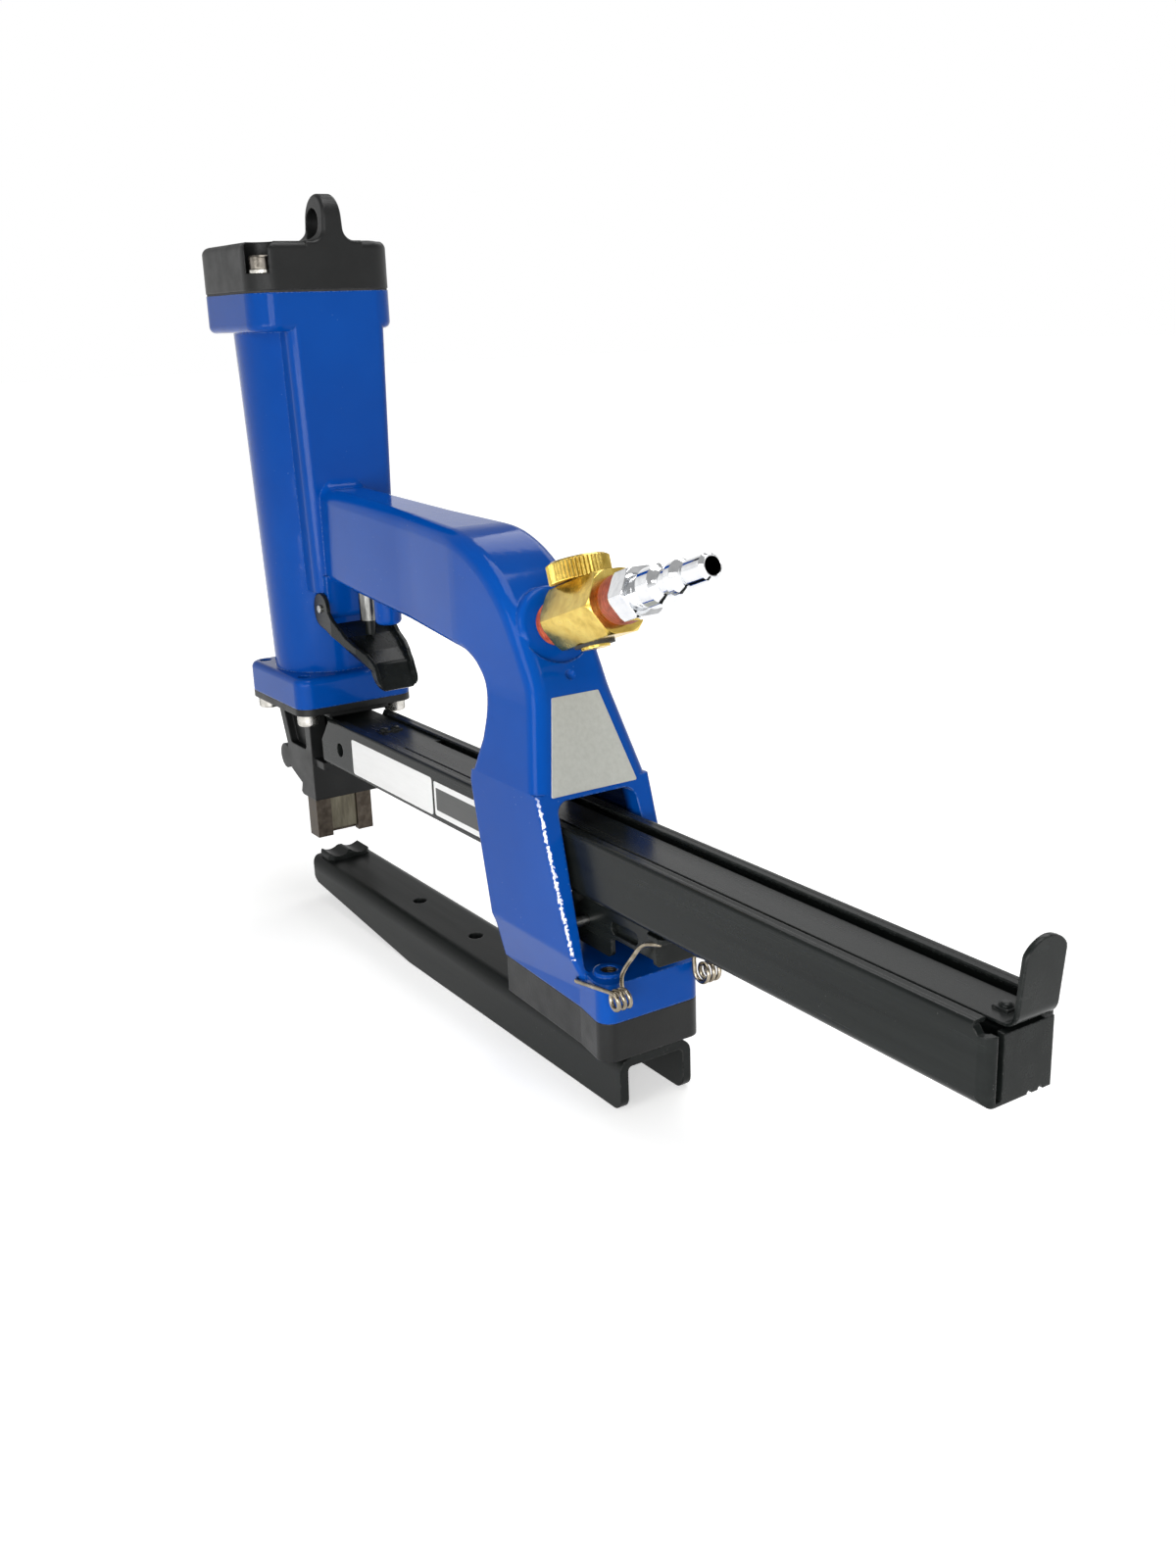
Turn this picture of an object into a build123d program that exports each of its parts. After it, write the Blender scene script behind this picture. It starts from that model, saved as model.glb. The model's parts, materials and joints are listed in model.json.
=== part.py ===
from build123d import *
import math
import os

# Pneumatic stapling plier. Lengths in millimetres, angles in degrees. +X runs to the
# tail of the magazine, +Z up from the floor under the anvil arm, and Y = 0 is the middle
# plane. The drive line, which is the axis of the barrel and the driver blade, stands at
# X = 0 while modelling. At the end every piece is moved along X so that the origin lies
# under the middle of the tool.

# Fits
run_fit = 0.05
seat_fit = 0.02
slide_gap = 0.3

# Anvil arm: channel open below, legs rising to a toe in front
arm_width = 26.8
arm_height = 17.5
arm_wall = 3.0
arm_bend = 4.5
arm_front = -7.2
arm_corner = 6.0
arm_heel_round = 4.0
toe_run = 92.0
toe_knee_run = 8.0
toe_knee_rise = 7.8
toe_rise = 12.0
arm_hole = 5.5
arm_hole_front = 70.2
arm_hole_rear = 114.8
dish_x = 25.0
dish_radius = 120.0
dish_depth = 0.5

# Anvil with two clinch grooves
anvil_width = 19.0
anvil_length = 11.5
anvil_shift = 0.75
anvil_rise = 3.3
anvil_round = 2.4
groove_radius = 5.5
groove_depth = 1.7
groove_offset = 4.6
anvil_stub = 6.0

# Reach from the drive line to the front of the base, and the foot of the housing, whose
# plan widens to the rear; the spacer between arm and base has the same plan
reach = 162.0
base_length = 66.0
base_low = 30.3
foot_side = 0.9
foot_mid_side = 3.1
foot_rear_side = 4.9
foot_mid_run = 16.7
foot_tail_run = 5.2
foot_corner = 4.6
ledge_drop = 21.4
boss_dia = 9.5
boss_hole = 5.2
boss_rise = 1.2
boss_depth = 9.0
boss_run = 8.4
boss_inset = 7.4

# Bolts through arm and spacer into the base
bolt_dia = 5.0
bolt_head_dia = 8.5
bolt_head_height = 5.0
bolt_front_run = 14.0
bolt_rear_run = 50.0

# Leg of the housing; runs are counted from the front of the base
leg_wall = 3.5
leg_toe_run = 4.0
leg_toe_height = 45.0
leg_knee_run = -5.0
leg_knee_height = 92.0
leg_crease = 96.0
leg_waist_run = -1.0
leg_waist_drop = 24.2826
leg_hip_drop = 6.2826
leg_back_run = 25.5
leg_back_height = 128.0
leg_back_slope = 0.334
leg_edge = 1.2
dimple = 2.2

# Window through the leg for the magazine
window_side = 3.6
window_top_side = 1.1
window_rise = 8.5
window_round = 4.0

# Handle; its top and its underside fall to the rear
handle_top = 176.56
handle_top_fall = 0.048
handle_low = 142.6
handle_low_fall = 0.0734
handle_back_angle = 60.0
handle_outer_round = 57.0
handle_inner_round = 21.0
handle_front_half = 9.6
handle_mid_run = -62.0
handle_mid_half = 11.4
handle_rear_run = -22.0
handle_rear_half = 14.5
handle_root = 12.0
handle_flare = 4.0
handle_top_edge = 5.0
handle_low_edge = 2.5
stud_dia = 10.0
stud_run = 16.5
stud_low = 126.5

# Barrel, rear chamber and flanges
barrel_wall = 4.2
barrel_taper = 4.9
barrel_height = 156.8
chamber_low = 135.5
chamber_left = 16.6
chamber_left_low = 13.6
chamber_right = 23.7
chamber_right_low = 20.9
chamber_edge = 4.0
top_flange_margin = 3.1
top_flange_height = 13.8
top_flange_round = 10.0
low_flange_front_margin = 5.9
low_flange_rear_margin = 6.9
low_flange_side_margin = 4.1
low_flange_round = 6.0
low_flange_height = 12.0
flange_edge = 2.5

# Cap with hanging eye; its screws sit in round pockets, three of them open at the corner
gasket = 0.8
gasket_inset = 0.25
cap_height = 17.0
cap_edge = 3.0
pocket_floor = 6.0
pocket_dia = 11.0
closed_pocket_dia = 10.4
cap_screw_inset = 6.0
closed_screw_inset = 7.5
cap_bore_step = 0.5
cap_bore_depth = 9.0
eye_hole = 11.0
eye_inset = 9.9
eye_length = 17.0
eye_shift = 4.4
eye_top_half = 3.2
eye_base_half = 4.4
eye_flare = 4.5
eye_rise = 6.2
eye_wall = 4.9
eye_edge = 1.3

# Screws of cap and nose
screw_dia = 5.0
screw_head_dia = 8.5
screw_head_height = 5.0
screw_grip = 11.0
washer_thick = 1.2
washer_dia = 9.2

# Sleeve, piston, driver, bumper
sleeve_out = 33.0
sleeve_wall = 2.0
bumper_height = 10.0
bumper_hole = 16.0
stroke = 55.0
tip_rest = 0.6
piston_height = 16.0
ring_wire = 2.4
driver_thick = 1.3
driver_width = 12.6
driver_root = 11.0
driver_pin_dia = 3.0

# Nose casting, driver guide and plate
nose_plate = 2.8
nose_screw_inset = 6.3
nose_screw_side = 5.6
nose_screw_gap = 0.95
nose_side = 0.7
nose_back = 8.0
nose_low = 46.0
nose_brow = -25.5
nose_throat = -17.5
nose_throat_height = 66.3
nose_chin = -6.5
lump_x = -20.7
lump_z = 59.5
lump_radius = 5.3
shelf_run = 9.0
shelf_height = 3.0
pocket_depth = 3.2
pocket_low = 67.0
pocket_high = 84.0
rib_height = 1.6
guide_low = 28.4
guide_front = -4.2
guide_back = 4.2
guide_half = 12.5
guide_gap = 11.8
guide_plate_thick = 2.4
guide_plate_lift = 2.2

# Magazine
mag_width = 26.6
mag_wall = 2.2
mag_low = 64.6
mag_height = 20.2
mag_front = 18.5
mag_front_cut = 8.5
mag_front_drop = 9.8
mag_length = 352.7
mag_tail_round = 3.2
mag_clear = 5.2
tongue_run = 9.6
flap_side = 5.3
flap_step = 2.8
seam = 2.0
right_wall_cut = 4.6
side_hole_dia = 5.6
side_hole_run = 17.2
side_hole_drop = 10.8
staple_wire = 1.2
core_height = 14.2
core_wall = 1.5
core_slot = 2.6
rod_dia = 2.4
spring_out = 5.8
pusher_front = 9.0
pusher_length = 24.0
pusher_drop = 11.0
pusher_wall = 1.35
pusher_top = 1.5

# Cover strip with thumb tab
cover_side = 5.05
cover_wide_side = 4.0
cover_thick = 1.5
cover_drop = 7.4
cover_wall = 1.2
cover_front = 12.0
cover_wide_end = 80.0
cover_guide_run = 224.5
tab_overhang = 4.0
tab_width = 13.0
tab_rise = 20.1
tab_lean = 0.1
tab_round = 4.6
tab_corner = 2.2
rivet_dia = 3.6
rivet_rise = 1.0
rivet_x = 54.0
rivet_pair = 4.8
tail_rivet_run = 6.9
rivet_plate = 0.6
rivet_plate_half = 2.3

# Latch and its torsion springs; runs are counted from the pin, drops from the magazine
latch_pin_run = 44.0
latch_pin_drop = 8.6
latch_pin_dia = 3.0
latch_side = 3.8
latch_wall = 1.5
latch_front_run = 6.0
latch_step_run = 13.5
latch_back_run = 36.7
latch_front_drop = 17.0
latch_step_drop = 10.1
latch_lip_drop = 12.2
latch_wing_run = 44.0
latch_wing_side = 0.5
latch_gap = 0.4
latch_slot_run = 13.7
latch_slot_length = 13.9
latch_slot_width = 4.2
latch_slot_drop = 6.6
wire = 1.4
coil_radius = 2.8
coil_turns = 2.75
coil_pitch = 2.1
coil_run = 5.5
coil_drop = 2.1
spring_foot_run = 15.0
spring_foot_drop = 2.6
spring_foot_depth = 4.6
spring_lean = 8.4
spring_knee_run = 7.5
spring_knee_drop = 10.2
spring_bend_run = 12.0
spring_bend_drop = 5.2
spring_end_run = 19.0

# Trigger and valve
pivot_gap = 5.6
pivot_z = 129.3
pivot_dia = 3.0
ear_radius = 6.0
lug_half = 11.2
lug_drop = 4.0
trigger_wall = 1.5
trigger_web = 1.8
trigger_pad_half = 8.4
valve_run = 16.5
bush_dia = 7.6
bush_low = 125.8
bush_high = 150.0
stem_dia = 4.0
stem_head_dia = 6.4
stem_head = 2.0
valve_room_dia = 7.2
valve_room_top = 163.0

# Air inlet, regulator and plug, along an axis that rises to the rear
inlet_run = 11.6
inlet_z = 141.9
inlet_rise = 18.8
inlet_face = 6.0
inlet_boss_dia = 25.0
inlet_rim = 2.0
inlet_thread = 13.0
thread_depth = 20.0
passage_dia = 12.0
seal_wall = 0.65
seal_length = 8.2
regulator_flats = 19.0
regulator_length = 29.0
knob_dia = 19.6
knob_height = 6.4
knob_ribs = 48
knob_rib = 0.55
knob_station = 11.8
knob_stem = 6.0
seat_dia = 9.2
seat_rise = 1.8
plug_thread = 12.0
plug_socket = 6.5
plug_seal_wall = 1.5
plug_seal_length = 6.2
plug_hex = 14.3
plug_hex_length = 7.8
plug_neck = 9.4
plug_collar = 12.0
plug_waist = 8.2
plug_ring = 10.2
plug_tip = 7.9
plug_bore = 5.4
plug_length = 33.0

# Places that follow from the sizes above
spacer_low = arm_height
base_rear = reach + base_length
ledge = mag_low - ledge_drop
mag_half = mag_width / 2
foot_half = mag_half + foot_side
foot_mid_half = mag_half + foot_mid_side
foot_rear_half = mag_half + foot_rear_side
mag_top = mag_low + mag_height
mag_floor = mag_low + mag_wall
mag_rear = mag_front + mag_length
low_flange_level = mag_top + mag_clear
top_flange_level = low_flange_level + barrel_height
barrel_low = low_flange_level + low_flange_height
top_flange_low = top_flange_level - top_flange_height
sleeve_in = sleeve_out - 2 * sleeve_wall
barrel_low_radius = sleeve_out / 2 + barrel_wall
barrel_top_radius = barrel_low_radius + barrel_taper
top_flange_half = barrel_top_radius + top_flange_margin
low_flange_front = -(barrel_low_radius + low_flange_front_margin)
low_flange_rear = barrel_low_radius + low_flange_rear_margin
nose_half = mag_half + nose_side
low_flange_half = max(
    barrel_low_radius + low_flange_side_margin,
    nose_half + nose_screw_gap + screw_head_dia / 2 + nose_screw_side,
)
nose_screw_x = -low_flange_front - nose_screw_inset
nose_screw_y = low_flange_half - nose_screw_side
nose_top = low_flange_level - nose_plate
cap_low = top_flange_level + gasket
cap_top = cap_low + cap_height
pocket_level = cap_low + pocket_floor
cap_bore = sleeve_in - 2 * cap_bore_step
core_width = driver_width - 2 * staple_wire
core_top = mag_floor + core_height
piston_low = low_flange_level + bumper_height + stroke + slide_gap
driver_tip = guide_low + stroke + tip_rest
pusher_low = core_top + run_fit * 2
cover_low = pusher_low + pusher_top + slide_gap
cover_top = cover_low + cover_thick
tab_back = mag_rear + tab_overhang
tab_top = cover_top + tab_rise
shelf_top = mag_low - slide_gap
slot_half = driver_thick / 2 + run_fit
window_low_half = mag_half + window_side
window_top_half = mag_half + window_top_side
window_top = mag_top + window_rise
leg_toe_half = window_low_half + leg_wall
leg_knee_half = leg_toe_half + 0.6
leg_toe = reach + leg_toe_run
leg_knee = reach + leg_knee_run
leg_waist = reach + leg_waist_run
crook_z = handle_low - handle_low_fall * leg_waist
leg_waist_height = crook_z - leg_waist_drop
leg_hip_height = crook_z - leg_hip_drop
leg_back_top = reach + leg_back_run
handle_mid = reach + handle_mid_run
handle_rear = reach + handle_rear_run
bolt_offset = arm_width / 2 - max(arm_bend, arm_wall) - bolt_head_dia / 2
latch_pin_x = reach + latch_pin_run
latch_pin_z = mag_low - latch_pin_drop
latch_half = mag_half - latch_side
latch_top = mag_low - latch_gap
coil_back = base_rear + coil_run
coil_level = ledge - coil_drop
coil_outer = foot_rear_half + wire / 2 + 0.35
pivot_x = barrel_low_radius + barrel_taper * (pivot_z - low_flange_level) / barrel_height + pivot_gap
valve_x = pivot_x + valve_run
trigger_half = lug_half + slide_gap + trigger_wall
inlet_x = reach + inlet_run
x_mid = (tab_back - top_flange_half) / 2


def block(x0, x1, y0, y1, z0, z1):
    """Box between two corners."""
    return Pos((x0 + x1) / 2, (y0 + y1) / 2, (z0 + z1) / 2) * Box(x1 - x0, y1 - y0, z1 - z0)


def rod(dia, x, y, z0, z1):
    """Upright cylinder."""
    return Pos(x, y, (z0 + z1) / 2) * Cylinder(dia / 2, z1 - z0)


def cross_rod(dia, x, z, half):
    """Cylinder along Y, centred on the middle plane."""
    return Pos(x, 0, z) * Rot(90, 0, 0) * Cylinder(dia / 2, 2 * half)


def outline(*corners):
    """Closed profile from corners, each with its radius."""
    points = [(c[0], c[1]) for c in corners]
    radii = [c[2] if len(c) > 2 else 0 for c in corners]
    return make_face(FilletPolyline(*points, radius=radii, close=True))


def side(half, *corners):
    """Profile in X and Z, as thick as twice the half width."""
    return extrude(Plane.XZ * outline(*corners), half, both=True)


def front(x0, x1, *corners):
    """Profile in Y and Z, drawn out along X."""
    return Pos(x0, 0, 0) * extrude(Plane.YZ * outline(*corners), x1 - x0)


def plan(z0, z1, *corners):
    """Profile in X and Y, drawn out along Z."""
    return Pos(0, 0, z0) * extrude(outline(*corners), z1 - z0)


def mirrored(*corners):
    """Both halves of a profile whose first half runs up the +Y side."""
    back = [(-c[0],) + tuple(c[1:]) for c in reversed(corners)]
    return list(corners) + back


def both_sides(*corners):
    """Both halves of a plan whose first half runs along the -Y side."""
    back = [(c[0], -c[1]) + tuple(c[2:]) for c in reversed(corners)]
    return list(corners) + back


def turned(*corners):
    """Solid of revolution about Z from a profile in radius and height."""
    return revolve(Plane.XZ * outline(*corners), Axis.Z)


def around(x, y):
    """The four places that mirror one place in X and Y."""
    return [(sx * x, sy * y) for sx in (-1, 1) for sy in (-1, 1)]


def foot_plan(x0, z0, z1):
    """Plan of the base and the spacer, wider at the rear."""
    return plan(
        z0,
        z1,
        *both_sides(
            (x0, -foot_half),
            (base_rear - foot_mid_run, -foot_mid_half),
            (base_rear - foot_tail_run, -foot_rear_half),
            (base_rear, -foot_rear_half, foot_corner),
        ),
    )


def placed(shape):
    return Pos(-x_mid, 0, 0) * shape


def save(name, *solids):
    """One STEP file for a node: a single solid, or a group of separate ones."""
    moved = [placed(s) for s in solids]
    export_step(moved[0] if len(moved) == 1 else Compound(children=moved), "parts/" + name + ".step")


def cap_screw(x, y, seat, length, up):
    """Socket screw whose head sits on the seat; up is 1 for a head above it, else -1."""
    head = screw_head_height * up
    shank = -length * up
    body = rod(screw_dia, x, y, min(seat, seat + shank), max(seat, seat + shank))
    cap_part = rod(screw_head_dia, x, y, min(seat, seat + head), max(seat, seat + head))
    return body + cap_part


os.makedirs("parts", exist_ok=True)

# Anvil arm, with a shallow dish pressed into its top behind the anvil
half = arm_width / 2
inner = half - arm_wall
arm_rear = base_rear
arm_side = side(
    arm_width,
    (arm_front, arm_height + 1),
    (arm_front, toe_rise),
    (arm_front + toe_knee_run, toe_knee_rise),
    (arm_front + toe_run, 0),
    (arm_rear, 0, arm_heel_round),
    (arm_rear, arm_height + 1),
)
arm_skin = front(arm_front, arm_rear, *mirrored((half, 0), (half, arm_height, arm_bend)))
arm_skin &= plan(
    -1,
    arm_height + 1,
    *both_sides((arm_rear, -half), (arm_front, -half, arm_corner)),
)
arm_room = front(
    arm_front + arm_wall,
    arm_rear + 1,
    *mirrored((inner, -1), (inner, arm_height - arm_wall, arm_bend - arm_wall)),
)
arm_channel = (arm_skin - arm_room) & arm_side
for x in (arm_hole_front, arm_hole_rear):
    arm_channel -= rod(arm_hole, x, 0, 0, arm_height + 1)
arm_channel -= rod(anvil_stub + 2 * seat_fit, 0, 0, 0, arm_height + 1)
arm_channel -= Pos(dish_x, 0, arm_height + dish_radius - dish_depth) * Sphere(dish_radius)
bolt_places = [(reach + r, sy * bolt_offset) for r in (bolt_front_run, bolt_rear_run) for sy in (-1, 1)]
bolt_seat = arm_height - arm_wall
for x, y in bolt_places:
    arm_channel -= rod(bolt_dia + 2 * seat_fit, x, y, 0, arm_height + 1)
save("anvil_arm", arm_channel)

# Anvil: its top is drawn in Y and Z with two hollows, its stub is riveted in the arm
anvil_top = arm_height + anvil_rise
a = anvil_length / 2
w = anvil_width / 2
anvil = front(-a, a, *mirrored((w, arm_height), (w, anvil_top, anvil_round)))
for sy in (-1, 1):
    hollow = Pos(0, sy * groove_offset, anvil_top + groove_radius - groove_depth)
    anvil -= hollow * Rot(0, 90, 0) * Cylinder(groove_radius, anvil_length + 2)
anvil &= plan(arm_height, anvil_top + 1, *both_sides((-a, -w, 3), (a, -w, 3)))
anvil &= side(w + 1, (-a, arm_height), (-a, anvil_top, 1.2), (a, anvil_top, 1.2), (a, arm_height))
anvil = Pos(anvil_shift, 0, 0) * anvil
anvil += rod(anvil_stub, 0, 0, bolt_seat, arm_height)
save("anvil", anvil)

# Spacer
spacer = foot_plan(reach + 1, spacer_low, base_low)
for x, y in bolt_places:
    spacer -= rod(bolt_dia + 2 * seat_fit, x, y, spacer_low - 1, base_low + 1)
save("spacer", spacer)

# Bolts, heads up inside the arm
bolt_top = ledge - 3.0
bolts = []
for x, y in bolt_places:
    bolts.append(
        rod(bolt_dia, x, y, bolt_seat, bolt_top)
        + rod(bolt_head_dia, x, y, bolt_seat - bolt_head_height, bolt_seat)
    )
save("arm_bolts", *bolts)

# Housing. Handle and upper leg share one side profile. In front of the hip the width
# comes from a plan, behind it from a front view.
slope = math.tan(math.radians(handle_back_angle))
bend_x = (leg_back_height + slope * leg_back_top - handle_top) / (slope - handle_top_fall)
bend_z = handle_top - handle_top_fall * bend_x
root_x = top_flange_half
root_top = handle_top - handle_top_fall * root_x
root_low = handle_low - handle_low_fall * root_x
lean = (leg_waist - leg_knee) / (leg_waist_height - leg_knee_height)
flare = handle_flare
upper_profile = (
    (handle_root, root_top + flare + 0.5),
    (root_x, root_top + flare + 0.5),
    (root_x, root_top, flare),
    (bend_x, bend_z, handle_outer_round),
    (leg_back_top, leg_back_height, 30),
    (leg_back_top + (leg_back_height - leg_crease) * leg_back_slope, leg_crease),
    (leg_knee + (leg_crease - leg_knee_height) * lean, leg_crease),
    (leg_waist, leg_waist_height, 12),
    (leg_waist, crook_z, handle_inner_round),
    (root_x, root_low, flare),
    (root_x, root_low - flare - 0.5),
    (handle_root, root_low - flare - 0.5),
)
hip_x = handle_rear + 10.0
upper = side(leg_knee_half + 5, *upper_profile)
handle_plan = plan(
    leg_hip_height - 15,
    handle_top + 20,
    *both_sides(
        (handle_root, -handle_front_half),
        (handle_mid, -handle_mid_half, 200),
        (handle_rear, -handle_rear_half, 60),
        (hip_x, -handle_rear_half),
    ),
)
hip_front = front(
    hip_x,
    base_rear,
    *mirrored(
        (leg_knee_half, leg_crease),
        (handle_rear_half, leg_hip_height, 30),
        (handle_rear_half, handle_top + 20),
    ),
)
handle = (upper & handle_plan) + (upper & hip_front)


def handle_edge(edge):
    """Names the long edge of the handle and upper leg that an edge belongs to."""
    middle = edge @ 0.5
    way = edge.tangent_at(0.5)
    if abs(middle.Y) < handle_front_half - 1.5 or middle.X < root_x + 0.05 or middle.Z < leg_crease + 0.01:
        return "none"
    if abs(way.Y) < 0.01 and abs(way.Z) > 0.999 and middle.X < hip_x + 1:
        return "none"
    if abs(way.X) > 0.999 and abs(way.Y) < 0.001 and abs(way.Z) < 0.001:
        return "none"
    if middle.X < hip_x:
        return "top" if middle.Z > (handle_top + handle_low) / 2 - 4 else "low"
    return "low" if middle.X < leg_waist + 2 and middle.Z < crook_z else "top"


handle = fillet([e for e in handle.edges() if handle_edge(e) == "top"], handle_top_edge)
handle = fillet([e for e in handle.edges() if handle_edge(e) == "low"], handle_low_edge)

lower_profile = (
    (leg_back_top + (leg_back_height - leg_crease) * leg_back_slope, leg_crease),
    (leg_back_top + (leg_back_height - base_low) * leg_back_slope, base_low),
    (reach, base_low),
    (leg_toe, leg_toe_height, 6),
    (leg_knee, leg_knee_height, 8),
    (leg_knee + (leg_crease - leg_knee_height) * lean, leg_crease),
)
lower = side(leg_knee_half + 5, *lower_profile) & front(
    leg_knee - 5,
    base_rear,
    *mirrored(
        (foot_half, base_low),
        (leg_toe_half, leg_toe_height + 3, 5),
        (leg_knee_half, leg_crease),
    ),
)
rear_edges = []
for e in lower.edges():
    middle = e @ 0.5
    way = e.tangent_at(0.5)
    if abs(way.X) > 0.2 and abs(way.Z) > 0.5 and middle.X > leg_back_top and abs(middle.Y) > foot_half - 2:
        rear_edges.append(e)
lower = fillet(rear_edges, leg_edge)
foot = foot_plan(reach, base_low, ledge)

barrel = Pos(0, 0, (low_flange_level + top_flange_level) / 2) * Cone(
    barrel_low_radius, barrel_top_radius, barrel_height
)
chamber = front(
    0,
    top_flange_half,
    (-chamber_left_low, chamber_low),
    (chamber_right_low, chamber_low),
    (chamber_right, top_flange_level),
    (-chamber_left, top_flange_level),
)
chamber_edges = chamber.edges().filter_by(lambda e: e.center().X > top_flange_half - 0.1)
chamber = fillet(chamber_edges.filter_by(lambda e: abs(e.center().Y) > 8), chamber_edge)
f = top_flange_half
r = top_flange_round
top_flange = plan(top_flange_low, top_flange_level, *both_sides((-f, -f, r), (f, -f, r)))
flange_rim = top_flange.faces().sort_by(Axis.Z)[0].edges()
top_flange = fillet(flange_rim.filter_by(lambda e: e.center().X < f - 0.1), flange_edge)
h = low_flange_half
r = low_flange_round
low_corners = both_sides((low_flange_front, -h, r), (low_flange_rear, -h, r))
low_flange = plan(low_flange_level, barrel_low, *low_corners)
low_flange = fillet(low_flange.faces().sort_by(Axis.Z)[-1].edges(), flange_edge)

axis_dir = Vector(math.cos(math.radians(inlet_rise)), 0, math.sin(math.radians(inlet_rise)))
inlet = Plane(origin=(inlet_x, 0, inlet_z), x_dir=(0, 1, 0), z_dir=axis_dir)
along = inlet.location
boss_radius = inlet_boss_dia / 2
inlet_boss = along * turned(
    (0, inlet_face - 18),
    (boss_radius, inlet_face - 18),
    (boss_radius, inlet_face, inlet_rim),
    (0, inlet_face),
)

lug_low = pivot_z - lug_drop
lug = side(
    lug_half,
    (pivot_x - 1.5 * ear_radius, root_low + 1.7),
    (pivot_x - 1.5 * ear_radius, lug_low),
    (pivot_x + 4, lug_low, 2.5),
    (pivot_x + 4, root_low + 1.7),
)
stud = rod(stud_dia, valve_x + stud_run, 0, stud_low, handle_low)
stud = fillet(stud.faces().sort_by(Axis.Z)[0].edges(), 2.0)

body = barrel + chamber + lug + top_flange + low_flange + handle + lower + foot + inlet_boss + stud
boss_places = [(base_rear - boss_run, sy * (foot_rear_half - boss_inset)) for sy in (-1, 1)]
boss_top = ledge + boss_rise

window = front(
    leg_knee - 20,
    base_rear + 30,
    *mirrored((window_low_half, ledge, 2), (window_top_half, window_top, window_round)),
)
body -= window
for x, y in boss_places:
    body += rod(boss_dia, x, y, ledge - 1, boss_top)
    body -= rod(boss_hole, x, y, boss_top - boss_depth, boss_top + 1)
valve_bore = rod(bush_dia + 2 * seat_fit, valve_x, 0, bush_low - 5, bush_high)
valve_room = rod(valve_room_dia, valve_x, 0, bush_high - 1, valve_room_top)
body -= valve_bore
body -= valve_room
bore = rod(sleeve_out + 2 * seat_fit, 0, 0, low_flange_level - 1, top_flange_level + 1)
body -= bore
spot_face = 12.0
body -= along * Pos(0, 0, inlet_face + spot_face / 2) * Cylinder(boss_radius, spot_face)
thread_from = inlet_face - thread_depth
thread_mid = (thread_from + inlet_face + 1) / 2
body -= along * Pos(0, 0, thread_mid) * Cylinder(inlet_thread / 2 + seat_fit, thread_depth + 1)
run = Vector(inlet_x - 12, 0, inlet_z + 5) - Vector(valve_x, 0, valve_room_top - 5)
passage = Plane(origin=(valve_x, 0, valve_room_top - 5), z_dir=run)
body -= passage.location * Pos(0, 0, run.length / 2) * Cylinder(passage_dia / 2, run.length)
s = top_flange_half - cap_screw_inset
e = top_flange_half - closed_screw_inset
cap_places = [(-s, -s), (-s, s), (s, -s), (e, e)]
for x, y in cap_places:
    body -= rod(screw_dia + 2 * seat_fit, x, y, top_flange_level - screw_grip, top_flange_level + 1)
for x, y in around(nose_screw_x, nose_screw_y):
    body -= rod(screw_dia + 2 * seat_fit, x, y, low_flange_level - 1, barrel_low + 1)
for x, y in bolt_places:
    body -= rod(bolt_dia + 2 * seat_fit, x, y, base_low - 1, bolt_top + 1)
body -= cross_rod(pivot_dia + 2 * seat_fit, pivot_x, pivot_z, trigger_half + 2)
pin_reach = leg_toe_half - 2.0
body -= cross_rod(latch_pin_dia + 2 * seat_fit, latch_pin_x, latch_pin_z, pin_reach + seat_fit)
spring_foot_x = base_rear - spring_foot_run
spring_foot_z = ledge - spring_foot_drop
for sy in (-1, 1):
    hole = Pos(spring_foot_x, sy * coil_outer, spring_foot_z) * Rot(90, 0, 0)
    body -= hole * Cylinder(wire / 2 + 0.15, 2 * spring_foot_depth + 0.6)
dent = Vector(leg_back_top + 0.6, 0, leg_back_height + 1.6)
body -= Pos(dent) * Sphere(dimple)
save("housing", body)

# Gasket and cap
g = f - gasket_inset
r = top_flange_round
cap_gasket = plan(top_flange_level, cap_low, *both_sides((-g, -g, r), (g, -g, r)))
cap_gasket -= rod(cap_bore, 0, 0, top_flange_level - 1, cap_low + 1)
for x, y in cap_places:
    cap_gasket -= rod(screw_dia + 2 * seat_fit, x, y, top_flange_level - 1, cap_low + 1)
save("cap_gasket", cap_gasket)

cap = plan(cap_low, cap_top, *both_sides((-f, -f, r), (f, -f, r)))
cap = fillet(cap.faces().sort_by(Axis.Z)[-1].edges(), cap_edge)
eye_x = f - eye_inset
eye_z = cap_top + eye_rise
eye_top = eye_z + eye_hole / 2 + eye_wall
eye_front = f - eye_length
bend = eye_length / 2 - 0.1
eye = side(
    4 * eye_flare + 2 * eye_base_half,
    (f, cap_top - 6),
    (f, eye_top, bend),
    (eye_front, eye_top, bend),
    (eye_front, cap_top, eye_flare),
    (eye_front - 2 * eye_flare, cap_top),
    (eye_front - 2 * eye_flare, cap_top - 6),
)
eye &= Pos(0, eye_shift, 0) * front(
    eye_front - 2 * eye_flare,
    f,
    *mirrored(
        (eye_base_half + 1.5 * eye_flare, cap_top - 6),
        (eye_base_half + 1.5 * eye_flare, cap_top),
        (eye_base_half, cap_top, eye_flare),
        (eye_top_half, eye_top + 1),
    ),
)
eye_rim = []
for edge in eye.edges():
    middle = edge @ 0.5
    if middle.Z > cap_top + eye_flare + 1 and abs(middle.Y - eye_shift) > eye_top_half - 0.5:
        eye_rim.append(edge)
eye = fillet(eye_rim, eye_edge)
cap += eye
for x, y in cap_places:
    dia = closed_pocket_dia if x > 0 and y > 0 else pocket_dia
    cap -= rod(dia, x, y, pocket_level, cap_top + 1)
cap -= cross_rod(eye_hole, eye_x, eye_z, 2 * eye_base_half + eye_shift)
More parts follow.
